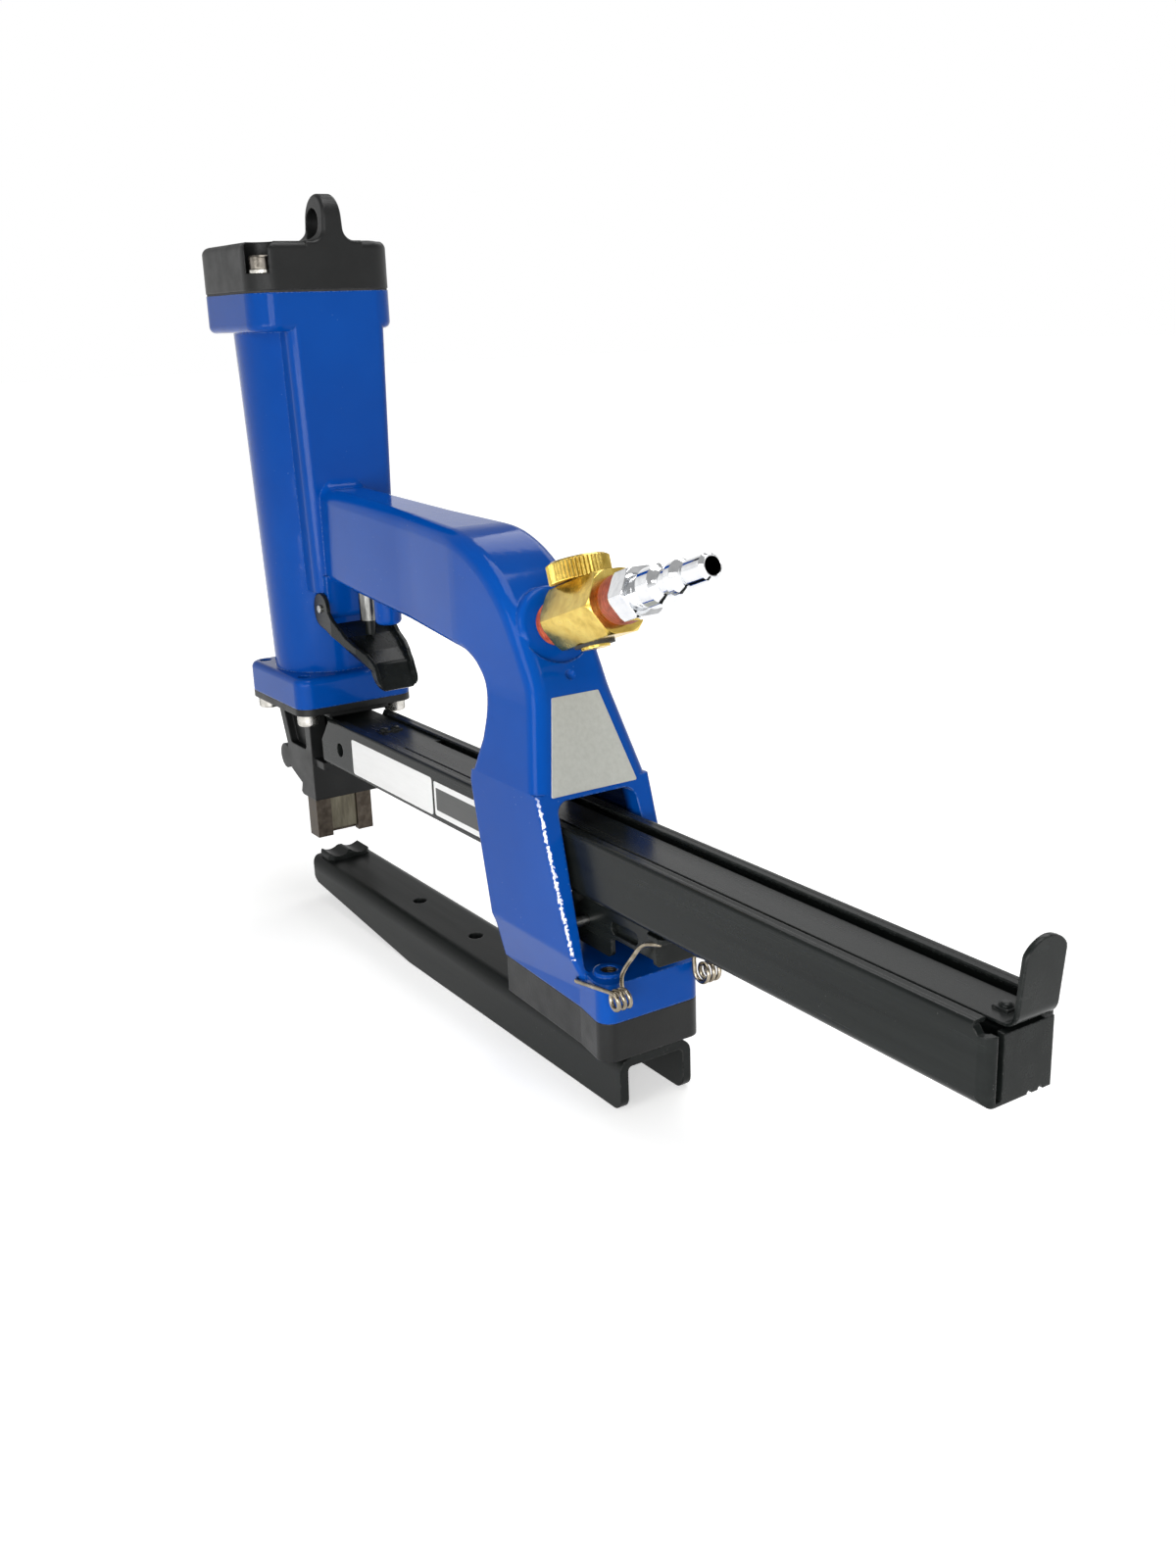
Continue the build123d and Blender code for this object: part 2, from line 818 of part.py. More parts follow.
cap -= rod(cap_bore, 0, 0, cap_low - 1, cap_low + cap_bore_depth)
for x, y in cap_places:
    cap -= rod(screw_dia + 0.4, x, y, cap_low - 1, pocket_level + 1)
save("cap", cap)

washer_top = pocket_level + washer_thick
washers = []
cap_screws = []
for x, y in cap_places:
    ring = rod(washer_dia, x, y, pocket_level, washer_top)
    washers.append(ring - rod(screw_dia + 0.4, x, y, pocket_level - 1, washer_top + 1))
    length = washer_top - top_flange_level + screw_grip - 1
    cap_screws.append(cap_screw(x, y, washer_top, length, 1))
save("cap_washers", *washers)
save("cap_screws", *cap_screws)

# Sleeve, bumper, piston and driver
sleeve = rod(sleeve_out, 0, 0, low_flange_level, top_flange_level)
sleeve -= rod(sleeve_in, 0, 0, low_flange_level - 1, top_flange_level + 1)
save("cylinder_sleeve", sleeve)

bumper_top = low_flange_level + bumper_height
bumper_radius = sleeve_in / 2 - 0.1
bumper = turned(
    (bumper_hole / 2, low_flange_level),
    (bumper_radius, low_flange_level),
    (bumper_radius, bumper_top, 2.5),
    (bumper_hole / 2, bumper_top, 2),
)
save("bumper", bumper)

piston_radius = sleeve_in / 2 - run_fit
piston_top = piston_low + piston_height
ring_level = piston_low + piston_height * 0.65
ring_major = piston_radius - ring_wire / 2
piston = turned(
    (0, piston_low),
    (piston_radius - 2, piston_low),
    (piston_radius, piston_low + 2),
    (piston_radius, piston_top - 1),
    (piston_radius - 1, piston_top),
    (0, piston_top),
)
groove_half = ring_wire / 2 + seat_fit
groove = rod(2 * piston_radius + 1, 0, 0, ring_level - groove_half, ring_level + groove_half)
groove -= rod(2 * (ring_major - ring_wire / 2 - seat_fit), 0, 0, piston_low, piston_top)
piston -= groove
blade_top = piston_low + driver_root
d = driver_thick / 2
w = driver_width / 2
piston -= block(-d - seat_fit, d + seat_fit, -w - seat_fit, w + seat_fit, piston_low - 1, blade_top)
pin_level = piston_low + driver_root * 0.55
pin_hole = Cylinder(driver_pin_dia / 2 + seat_fit, 2 * piston_radius + 2)
pin_hole = Pos(0, 0, pin_level) * Rot(0, 90, 0) * pin_hole
piston -= pin_hole
save("piston", piston)
save("piston_ring", Pos(0, 0, ring_level) * Torus(ring_major, ring_wire / 2))
driver = block(-d, d, -w, w, driver_tip, blade_top) - pin_hole
save("driver", driver)
pin_span = 2 * math.sqrt(piston_radius ** 2 - driver_pin_dia ** 2) - 1
save("driver_pin", Pos(0, 0, pin_level) * Rot(0, 90, 0) * Cylinder(driver_pin_dia / 2, pin_span))

# Nose: a cast web with a plate on top, a lump across its front and a shelf behind
nose = plan(nose_top, low_flange_level, *low_corners)
nose += side(
    nose_half,
    (nose_brow, nose_top),
    (nose_throat, nose_throat_height, 4),
    (lump_x + 4, lump_z - lump_radius + 1.5, 3),
    (nose_chin + 1.5, nose_low + 5),
    (nose_chin, nose_low + 1),
    (nose_chin + 1.5, nose_low),
    (nose_back, nose_low),
    (nose_back, nose_top),
)
nose += cross_rod(2 * lump_radius, lump_x, lump_z, nose_half)
shelf_half = nose_half - 1
shelf_low = shelf_top - shelf_height
nose += block(nose_back - 1, nose_back + shelf_run, -shelf_half, shelf_half, shelf_low, shelf_top)
rib_half = mag_half - 0.3
rib_low = nose_top - rib_height
nose += block(nose_back - 2, low_flange_rear - 0.6, -rib_half, rib_half, rib_low, nose_top)
for sy in (-1, 1):
    wall = sy * (nose_half - pocket_depth / 2 + 0.5)
    nose -= Pos(0, wall, 0) * side(
        pocket_depth / 2 + 0.5,
        (nose_brow + 6, pocket_high, 2),
        (nose_throat + 4.5, pocket_low, 2),
        (nose_back - 5, pocket_low, 2),
        (nose_back - 5, pocket_high, 2),
    )
slot_width = driver_width / 2 + slide_gap
nose -= block(-slot_half, slot_half, -slot_width, slot_width, nose_low - 1, low_flange_level + 1)
gate = core_width / 2 + pusher_wall + 0.45
nose -= block(0, nose_back + 1, -gate, gate, mag_floor - slide_gap, pusher_low + 2.5)
plate_top = shelf_top - 1
plate_half = guide_gap / 2 - 0.05
plate_back = slot_half + guide_plate_thick
plate_room = plate_half + seat_fit
nose -= block(0, plate_back + seat_fit, -plate_room, plate_room, nose_low - 1, plate_top + seat_fit)
for x, y in around(nose_screw_x, nose_screw_y):
    nose -= rod(screw_dia + 2 * seat_fit, x, y, nose_top - 1, low_flange_level + 1)
save("nose", nose)

nose_screws = []
for x, y in around(nose_screw_x, nose_screw_y):
    nose_screws.append(cap_screw(x, y, nose_top, barrel_low - nose_top - 2, -1))
save("nose_screws", *nose_screws)

nose_guide = block(guide_front, guide_back, -guide_half, guide_half, guide_low, nose_low)
nose_guide -= block(-slot_half, slot_half, -slot_width, slot_width, guide_low - 1, nose_low + 1)
nose_guide -= block(0, guide_back + 1, -plate_room, plate_room, guide_low - 1, nose_low + 1)
save("nose_guide", nose_guide)
plate_low = guide_low + guide_plate_lift
save("guide_plate", block(slot_half, plate_back, -plate_half, plate_half, plate_low, plate_top))

# Magazine: a trough bent from sheet. Its left wall wraps around the tail, its end flap
# stands up from the floor, and its right wall ends short of the flap.
m = mag_half
trough = plan(mag_low, mag_top, *both_sides((mag_front, -m), (mag_rear, -m, mag_tail_round)))
trough &= front(mag_front, mag_rear, *mirrored((m, mag_low, 2.6), (m, mag_top, 1.0)))
tail_in = mag_rear - mag_wall
tail_bend = mag_tail_round - mag_wall
trough -= plan(
    mag_floor,
    mag_top + 1,
    *both_sides((mag_front - 1, -m + mag_wall), (tail_in, -m + mag_wall, tail_bend)),
)
trough -= side(
    m + 1,
    (mag_front - 1, mag_top - mag_front_drop),
    (mag_front, mag_top - mag_front_drop),
    (mag_front + mag_front_cut, mag_top),
    (mag_front + mag_front_cut, mag_top + 1),
    (mag_front - 1, mag_top + 1),
)
tongue_front = mag_front - tongue_run
trough += block(tongue_front, mag_front + 1, -m + 3.5, m - 3.5, mag_low, mag_floor)
flap_half = m - flap_side
trough -= side(
    m + 1,
    (mag_rear - 4.6, mag_top + 1),
    (mag_rear - 4.6, mag_top - 1),
    (mag_rear - 3, mag_top - flap_step),
    (mag_rear + 1, mag_top - flap_step),
    (mag_rear + 1, mag_top + 1),
)
trough -= block(tail_in - 0.6, mag_rear + 1, -flap_half - seam, -flap_half, mag_low + 1, mag_top + 1)
trough -= block(mag_rear - right_wall_cut, mag_rear + 1, flap_half, m + 1, mag_low - 1, mag_top + 1)
for y in (1.0, 4.6):
    trough -= Pos(mag_rear - 1, y, mag_low) * Rot(0, 90, 0) * Cylinder(0.8, 4)
trough -= cross_rod(side_hole_dia, mag_front + side_hole_run, mag_top - side_hole_drop, m + 1)
save("magazine", trough)

c = core_width / 2
core_front = slot_half + 0.4
core = front(core_front, tail_in, *mirrored((c, mag_floor), (c, core_top, 1.0)))
core -= front(
    core_front + 2,
    tail_in + 1,
    *mirrored((c - core_wall, mag_floor - 1), (c - core_wall, core_top - 2, 0.6)),
)
core -= block(pusher_front + 10, tail_in - 20, -core_slot / 2, core_slot / 2, core_top - 3, core_top + 1)
save("core_rail", core)

rod_level = mag_floor + core_height * 0.47
rod_turn = Rot(0, 90, 0)
rod_from = core_front + 2
rod_span = tail_in - rod_from
guide_rod = Pos(rod_from + rod_span / 2, 0, rod_level) * rod_turn * Cylinder(rod_dia / 2, rod_span)
save("guide_rod", guide_rod)

p_in = c + 0.15
p_out = p_in + pusher_wall
pusher_rear = pusher_front + pusher_length
pusher_high = pusher_low + pusher_top
pusher = front(
    pusher_front,
    pusher_rear,
    *mirrored((p_out, pusher_low - pusher_drop), (p_out, pusher_high, 1.0)),
)
pusher -= front(
    pusher_front - 1,
    pusher_rear + 1,
    *mirrored((p_in, pusher_low - pusher_drop - 1), (p_in, pusher_low)),
)
tongue_half = core_slot / 2 - slide_gap
pusher += block(pusher_rear - 5, pusher_rear - 1, -tongue_half, tongue_half, rod_level - 3, pusher_low + 0.5)
foot_width = c - core_wall - slide_gap
foot_top = core_top - 2 - slide_gap
pusher += block(pusher_rear - 5, pusher_rear - 1, -foot_width, foot_width, rod_level - 3, foot_top)
hang = Pos(pusher_rear - 3, 0, rod_level) * rod_turn * Cylinder(rod_dia / 2 + slide_gap, 6)
pusher -= hang
save("pusher", pusher)

feed_from = pusher_rear - 0.9
feed_span = tail_in - 0.1 - feed_from
feed = Cylinder(spring_out / 2, feed_span) - Cylinder(rod_dia / 2 + 0.5, feed_span + 2)
save("feed_spring", Pos(feed_from + feed_span / 2, 0, rod_level) * rod_turn * feed)

# Cover strip: flat, with guide flanges along its front half, small raised plates under
# the rivets, and a thumb tab at the tail that leans back
cw = m - cover_side
cover_wide = m - cover_wide_side
cover = block(cover_front, mag_rear - 6, -cw, cw, cover_low, cover_top)
cover += block(cover_front, cover_wide_end, -cover_wide, cover_wide, cover_low, cover_top)
for sy in (-1, 1):
    y0, y1 = sorted((sy * (cw - cover_wall), sy * cw))
    guide_end = cover_front + cover_guide_run
    cover += block(cover_front, guide_end, y0, y1, cover_low - cover_drop, cover_low + 0.1)


def tab_face(z):
    """Where the outer face of the leaning tab stands at a height."""
    return tab_back - (tab_top - z) * tab_lean


t = tab_width / 2
tab = side(
    tab_width,
    (mag_rear - 8, cover_low),
    (tab_face(cover_low), cover_low, tab_round),
    (tab_back, tab_top),
    (tab_back - cover_thick, tab_top),
    (tab_face(cover_top) - cover_thick, cover_top, tab_round - cover_thick),
    (mag_rear - 8, cover_top),
)
tab &= front(
    mag_rear - 9,
    tab_back + 1,
    *mirrored((t, cover_low - 1), (t, tab_top - 2.9, tab_corner), (t * 0.4, tab_top, 5)),
)
cover += tab
tail_rivet_x = mag_rear - tail_rivet_run
rivet_places = [(rivet_x, -rivet_pair / 2), (rivet_x, rivet_pair / 2), (tail_rivet_x, 0)]
rivet_seat = cover_top + rivet_plate
for x, y in ((rivet_x, rivet_pair / 2), (tail_rivet_x, 0)):
    cover += block(
        x - rivet_plate_half,
        x + rivet_plate_half,
        -y - rivet_plate_half,
        y + rivet_plate_half,
        cover_top - 0.1,
        rivet_seat,
    )
rivets = []
for x, y in rivet_places:
    head = Pos(x, y, rivet_seat) * turned(
        (0, 0), (rivet_dia / 2, 0), (rivet_dia / 2, rivet_rise, rivet_rise * 0.8), (0, rivet_rise)
    )
    rivets.append(head + rod(rivet_dia / 2, x, y, cover_low, rivet_seat))
    cover -= rod(rivet_dia / 2 + 2 * seat_fit, x, y, cover_low - 1, rivet_seat + 1)
save("cover_strip", cover)
save("strip_rivets", *rivets)

# Latch under the magazine: deep cheeks in front, shallow ones behind with a slot, a lip
# across the rear and a wing over the springs
latch_front = latch_pin_x - latch_front_run
latch_step = latch_pin_x + latch_step_run
latch_back = latch_pin_x + latch_back_run
latch_front_low = mag_low - latch_front_drop
latch_step_low = mag_low - latch_step_drop
latch_lip = mag_low - latch_lip_drop
wing_back = latch_pin_x + latch_wing_run
wing_half = m - latch_wing_side
latch = plan(
    latch_top - latch_wall,
    latch_top,
    *both_sides(
        (latch_pin_x + 1, -latch_half),
        (latch_back - 2, -latch_half),
        (latch_back, -wing_half, 1.5),
        (wing_back, -wing_half, 2),
    ),
)
cheek = side(
    latch_half,
    (latch_front, latch_front_low, 3),
    (latch_front, latch_pin_z + 3, 2.5),
    (latch_pin_x + 1, latch_top),
    (latch_back, latch_top),
    (latch_back, latch_step_low),
    (latch_step, latch_step_low, 1.5),
    (latch_step, latch_front_low, 2),
)
cheek -= block(
    latch_front - 1,
    latch_back - latch_wall,
    -latch_half + latch_wall,
    latch_half - latch_wall,
    latch_front_low - 1,
    latch_top + 1,
)
latch += cheek
latch += front(
    latch_back - latch_wall,
    latch_back,
    *mirrored((latch_half, latch_lip, 1.5), (latch_half, latch_top)),
)
slot_r = latch_slot_width / 2
slot_front = latch_pin_x + latch_slot_run
slot_rear = slot_front + latch_slot_length
slot_z = mag_low - latch_slot_drop
latch -= side(
    latch_half + 1,
    (slot_front, slot_z - slot_r, slot_r - 0.05),
    (slot_rear, slot_z - slot_r, slot_r - 0.05),
    (slot_rear, slot_z + slot_r, slot_r - 0.05),
    (slot_front, slot_z + slot_r, slot_r - 0.05),
)
latch -= cross_rod(latch_pin_dia + 2 * run_fit, latch_pin_x, latch_pin_z, latch_half + 1)
save("latch", latch)
save("latch_pin", cross_rod(latch_pin_dia, latch_pin_x, latch_pin_z, pin_reach))

# Torsion springs: foot in a hole of the leg, arm rising along the base, coil behind it,
# and a second arm up under the latch. The turns are arcs in pairs, about a quarter turn.


def arc_pair(p0, t0, p1, t1):
    """Two arcs that leave p0 along t0, arrive at p1 along t1 and meet without a kink."""
    v = p1 - p0
    t = t0 + t1
    k = 4 - t.dot(t)
    size = (-v.dot(t) + math.sqrt(v.dot(t) ** 2 + k * v.dot(v))) / k
    a0 = p0 + t0 * size
    a1 = p1 - t1 * size
    middle = (a0 + a1) * 0.5
    first = Edge.make_tangent_arc(p0, t0, middle)
    second = Edge.make_tangent_arc(middle, a1 - a0, p1)
    return [first, second]


spring_y = -coil_outer
foot_in = Vector(spring_foot_x, spring_y + spring_foot_depth, spring_foot_z)
foot_out = Vector(spring_foot_x, spring_y, spring_foot_z)
span_x = coil_back - spring_foot_x
span_z = coil_level - spring_foot_z
far = math.hypot(span_x, span_z)
start_turn = -math.atan2(span_z, span_x) - math.asin(coil_radius / far)
quarters = round(coil_turns * 4)
coil_points = []
coil_tangents = []
for i in range(quarters + 1):
    a = start_turn if i == 0 else math.pi / 2 * i
    y = spring_y + coil_pitch * max(a, 0) / (2 * math.pi)
    x = coil_back + coil_radius * math.sin(a)
    coil_points.append(Vector(x, y, coil_level + coil_radius * math.cos(a)))
    way = Vector(math.cos(a), coil_pitch / (2 * math.pi * coil_radius), -math.sin(a))
    coil_tangents.append(way.normalized())
coil_tangents[0] = (coil_points[0] - foot_out).normalized()
coil_tangents[-1] = Vector(0, 0, 1)

lower_arm = FilletPolyline(foot_in, foot_out, coil_points[0], radius=wire * 1.2)
up_from = coil_points[-1]
tilt = math.tan(math.radians(spring_lean))


def upper_point(x, z):
    """Point of the upper spring arm, which leans to the middle."""
    return Vector(x, up_from.Y + (x - up_from.X) * tilt, z)


shin = Vector(up_from.X, up_from.Y, up_from.Z + 6)
knee = upper_point(base_rear + spring_knee_run, mag_low - spring_knee_drop)
bow = upper_point(base_rear + spring_bend_run, mag_low - spring_bend_drop)
end = upper_point(base_rear + spring_end_run, latch_top - latch_wall - wire / 2 - 0.15)
upper_arm = FilletPolyline(up_from, shin, knee, bow, end, radius=2.5)
pieces = list(lower_arm.edges())
for i in range(quarters):
    pieces += arc_pair(coil_points[i], coil_tangents[i], coil_points[i + 1], coil_tangents[i + 1])
pieces += list(upper_arm.edges())
spring_path = Wire(pieces)
start = Plane(origin=foot_in, z_dir=foot_out - foot_in)
spring = sweep(start * Circle(wire / 2), path=spring_path)
steps = 900
trail = [spring_path.position_at(i / steps) for i in range(steps + 1)]
stride = spring_path.length / steps
apart = max(2, int(4 * wire / stride))
least = min(
    (trail[i] - trail[j]).length for i in range(0, steps + 1, 3) for j in range(i + apart, steps + 1, 3)
)
print("latch spring: least gap to itself", round(least - wire, 3), "mm, solids", len(spring.solids()))
save("latch_springs", spring, mirror(spring, about=Plane.XZ))

# Trigger: pressed sheet hung on a pin through the lug. Its web falls to a finger pad, its
# edges are turned up, and it narrows from the ears to the pad.
web_points = ((3.5, -6.7), (14.5, -10.5), (23.5, -15.1), (32, -18.3), (35.5, -23.3), (37, -27.3))
web_line = FilletPolyline(*[(pivot_x + x, pivot_z + z) for x, z in web_points], radius=3.0)
web = extrude(Plane.XZ * trace(web_line, trigger_web), trigger_half, both=True)
k = ear_radius
cheek_points = (
    (-k, k, 0.98 * k),
    (k, k, 0.98 * k),
    (k, -0.8, 0.5),
    (9.1, -3.3, 3),
    (17.9, -9.3, 4),
    (30.1, -13.9, 3),
    (35, -17.6, 3),
    (38.6, -25),
    (37.9, -27.7),
    (36, -27.6),
    (34.4, -23.6, 2),
    (31.4, -19.4, 2),
    (23.2, -16.2, 3),
    (14.2, -11.6, 3),
    (3, -7.8, 2),
    (-k, -k, 0.98 * k),
)
cheeks = side(trigger_half, *[(pivot_x + p[0], pivot_z + p[1]) + tuple(p[2:]) for p in cheek_points])
pad = trigger_pad_half
taper = ((-k - 1, trigger_half), (8.5, trigger_half), (15, trigger_half - 0.9), (25, trigger_half - 2.1))
widths = list(taper) + [(32, pad + 0.6), (35.5, pad), (45, pad)]
shape = plan(pivot_z - 40, pivot_z + 20, *both_sides(*[(pivot_x + x, -y) for x, y in widths]))
room = plan(pivot_z - 40, pivot_z + 20, *both_sides(*[(pivot_x + x, -y + trigger_wall) for x, y in widths]))
finger = front(
    pivot_x - k - 1,
    pivot_x + 45,
    *mirrored(
        (pad, pivot_z - 28.4, pad * 0.75),
        (pad, pivot_z - 20),
        (trigger_half, pivot_z - 10),
        (trigger_half, pivot_z + 20),
    ),
)
cheeks = (cheeks & shape & finger) - room
trigger = (web & shape & finger) + cheeks
trigger -= cross_rod(pivot_dia + 2 * run_fit, pivot_x, pivot_z, trigger_half + 1)
save("trigger", trigger)
save("trigger_pin", cross_rod(pivot_dia, pivot_x, pivot_z, trigger_half + 0.8))

# Valve: bush, stem with head above it, return spring
bush = rod(bush_dia, valve_x, 0, bush_low, bush_high)
bush -= rod(stem_dia + 2 * run_fit, valve_x, 0, bush_low - 1, bush_high + 1)
save("valve_bush", bush)
(x0, z0), (x1, z1) = web_points[1], web_points[2]
fall = (z1 - z0) / (x1 - x0)
edge_x = valve_run - stem_dia / 2
web_at_valve = pivot_z + z0 + fall * (edge_x - x0) + trigger_web / 2 * math.hypot(1, fall)
stem_low = web_at_valve + 0.35
head_low = bush_high + 0.1
stem = rod(stem_dia, valve_x, 0, stem_low, head_low + stem_head)
stem += rod(stem_head_dia, valve_x, 0, head_low, head_low + stem_head)
save("valve_stem", stem)
valve_spring = rod(stem_head_dia, valve_x, 0, head_low + stem_head + 0.05, valve_room_top - 0.1)
valve_spring -= rod(stem_head_dia - 2, valve_x, 0, head_low, valve_room_top)
save("valve_spring", valve_spring)

# Air inlet: sealant ring, regulator body, knob, seat, second sealant ring, plug
seal_from = inlet_face
body_from = seal_from + seal_length
body_to = body_from + regulator_length
hex_from = body_to + plug_seal_length
hex_to = hex_from + plug_hex_length


def tube(outer, hole, s0, s1):
    """Ring on the inlet axis between two stations."""
    ring = Pos(0, 0, (s0 + s1) / 2) * Cylinder(outer / 2, s1 - s0)
    return ring - Pos(0, 0, (s0 + s1) / 2) * Cylinder(hole / 2, s1 - s0 + 2)


def hexagon(flats, s0, s1):
    return Pos(0, 0, s0) * extrude(RegularPolygon(flats / 2, 6, major_radius=False), s1 - s0)


seal_hole = inlet_thread + 2 * seat_fit
save("inlet_seal", along * tube(inlet_thread + 2 * seal_wall, seal_hole, seal_from, body_from))

nipple_from = thread_from + 3
reg = hexagon(regulator_flats, body_from, body_to)
rim = turned(
    (0, body_from),
    (regulator_flats * 0.52, body_from),
    (regulator_flats * 0.585, body_from + 1.6),
    (regulator_flats * 0.585, body_to - 1.6),
    (regulator_flats * 0.52, body_to),
    (0, body_to),
)
reg &= rim
reg += tube(inlet_thread, plug_bore, nipple_from, body_from + 0.5)
socket_from = body_to - plug_socket
reg -= Pos(0, 0, (nipple_from + body_to) / 2) * Cylinder(plug_bore / 2 + 0.6, body_to - nipple_from + 2)
socket = Cylinder(plug_thread / 2 + seat_fit, body_to + 2 - socket_from)
reg -= Pos(0, 0, (socket_from + body_to + 2) / 2) * socket
knob_s = body_from + knob_station
flat_up = regulator_flats / 2
upward = Rot(-90, 0, 0)
reg -= Pos(0, 0, knob_s) * upward * Pos(0, 0, flat_up) * Cylinder(knob_stem / 2 + run_fit, 12)
save("regulator_body", along * reg)

ribbed = []
for i in range(2 * knob_ribs):
    r = knob_dia / 2 - (i % 2) * knob_rib
    a = math.pi * i / knob_ribs
    ribbed.append((r * math.cos(a), r * math.sin(a)))
knob = Pos(0, 0, flat_up + slide_gap) * extrude(make_face(Polyline(*ribbed, close=True)), knob_height)
edge = knob_dia / 2 + 0.5
knob_high = flat_up + slide_gap + knob_height
knob &= turned(
    (0, flat_up),
    (edge, flat_up),
    (edge, knob_high - 1.2),
    (edge - 1.7, knob_high),
    (0, knob_high),
)
knob += Pos(0, 0, flat_up - 2) * Cylinder(knob_stem / 2, 6)
save("regulator_knob", along * Pos(0, 0, knob_s) * upward * knob)

down = Pos(0, 0, knob_s) * Rot(90, 0, 0)
seat = Pos(0, 0, flat_up + seat_rise / 2) * Cylinder(seat_dia / 2, seat_rise)
seat -= Pos(0, 0, flat_up + seat_rise) * Box(seat_dia + 1, 1.2, 1.4)
save("regulator_seat", along * down * seat)
seat_ring = Cylinder(seat_dia / 2 + 1.6, 0.9) - Cylinder(seat_dia / 2 + seat_fit, 2)
seat_ring = Pos(0, 0, flat_up + 0.45) * seat_ring
save("seat_ring", along * down * seat_ring)

plug_hole = plug_thread + 2 * seat_fit
save("plug_seal", along * tube(plug_thread + 2 * plug_seal_wall, plug_hole, body_to, hex_from))

tip_to = hex_to + plug_length
plug = turned(
    (plug_bore / 2, socket_from + 1),
    (plug_thread / 2, socket_from + 1),
    (plug_thread / 2, hex_from + 1),
    (plug_neck / 2, hex_from + 1),
    (plug_neck / 2, hex_to + 3),
    (plug_collar / 2 - 0.8, hex_to + 3),
    (plug_collar / 2, hex_to + 4),
    (plug_collar / 2, hex_to + 10),
    (plug_collar / 2 - 1, hex_to + 11),
    (plug_waist / 2, hex_to + 12),
    (plug_waist / 2, hex_to + 15.5, 1),
    (plug_ring / 2, hex_to + 16.5, 0.4),
    (plug_ring / 2, hex_to + 19.5, 0.8),
    (plug_tip / 2 - 0.5, hex_to + 22, 1),
    (plug_tip / 2, hex_to + 24),
    (plug_tip / 2, tip_to - 1.2),
    (plug_tip / 2 - 0.9, tip_to),
    (plug_bore / 2, tip_to),
)
nut = hexagon(plug_hex, hex_from, hex_to) & turned(
    (plug_bore / 2, hex_from),
    (plug_hex * 0.53, hex_from),
    (plug_hex * 0.585, hex_from + 1),
    (plug_hex * 0.585, hex_to - 1),
    (plug_hex * 0.53, hex_to),
    (plug_bore / 2, hex_to),
)
save("air_plug", along * (plug + nut))
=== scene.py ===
import bpy
import bmesh
import json
import math
from mathutils import Matrix, Vector


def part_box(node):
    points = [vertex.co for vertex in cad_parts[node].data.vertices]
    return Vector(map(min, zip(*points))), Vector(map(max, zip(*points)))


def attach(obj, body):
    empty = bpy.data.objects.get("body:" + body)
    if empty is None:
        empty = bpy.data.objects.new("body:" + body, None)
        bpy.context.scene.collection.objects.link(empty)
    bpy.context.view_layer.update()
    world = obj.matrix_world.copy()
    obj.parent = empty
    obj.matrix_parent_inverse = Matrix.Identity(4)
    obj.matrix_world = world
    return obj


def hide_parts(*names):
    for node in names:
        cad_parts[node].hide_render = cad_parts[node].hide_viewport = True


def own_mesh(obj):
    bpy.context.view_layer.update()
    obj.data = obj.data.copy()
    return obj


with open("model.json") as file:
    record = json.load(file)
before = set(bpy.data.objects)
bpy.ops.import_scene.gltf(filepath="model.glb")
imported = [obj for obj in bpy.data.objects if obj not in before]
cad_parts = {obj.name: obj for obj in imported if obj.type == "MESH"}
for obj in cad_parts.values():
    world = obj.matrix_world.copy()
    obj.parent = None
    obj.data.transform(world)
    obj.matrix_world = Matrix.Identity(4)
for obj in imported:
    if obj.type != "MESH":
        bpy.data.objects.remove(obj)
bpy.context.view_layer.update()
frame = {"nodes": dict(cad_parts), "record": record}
nodes = frame["nodes"]
scene = bpy.context.scene

MM = 0.001
X_MID = 173.25


def at(x, y, z):
    """A point given in millimetres from the cylinder's axis, as a point of the frame."""
    return Vector(((x - X_MID) * MM, y * MM, z * MM))


# Sizes that pieces made here share with the model, in millimetres
SCREW_HEAD_R, SCREW_HEAD_H, SCREW_R, SOCKET_FLATS = 4.25, 5.0, 2.5, 4.0
CAP_SCREWS = ((-22.7, -22.7), (-22.7, 22.7), (22.7, -22.7), (21.2, 21.2))
CAP_SHANK = 18.0
NOSE_SCREW_X, NOSE_SCREW_Y, NOSE_SHANK = 20.3, 19.2, 12.8
BOLT_X, BOLT_Y, BOLT_SHANK = (176.0, 212.0), 4.65, 25.7
INLET_AT = (173.6, 0.0, 141.9)
INLET_RISE = math.radians(18.8)
LEG_TOP = (187.5, 0.0, 128.0)
LEG_SLOPE = 0.334
MAG_SIDE = -13.3


# Materials


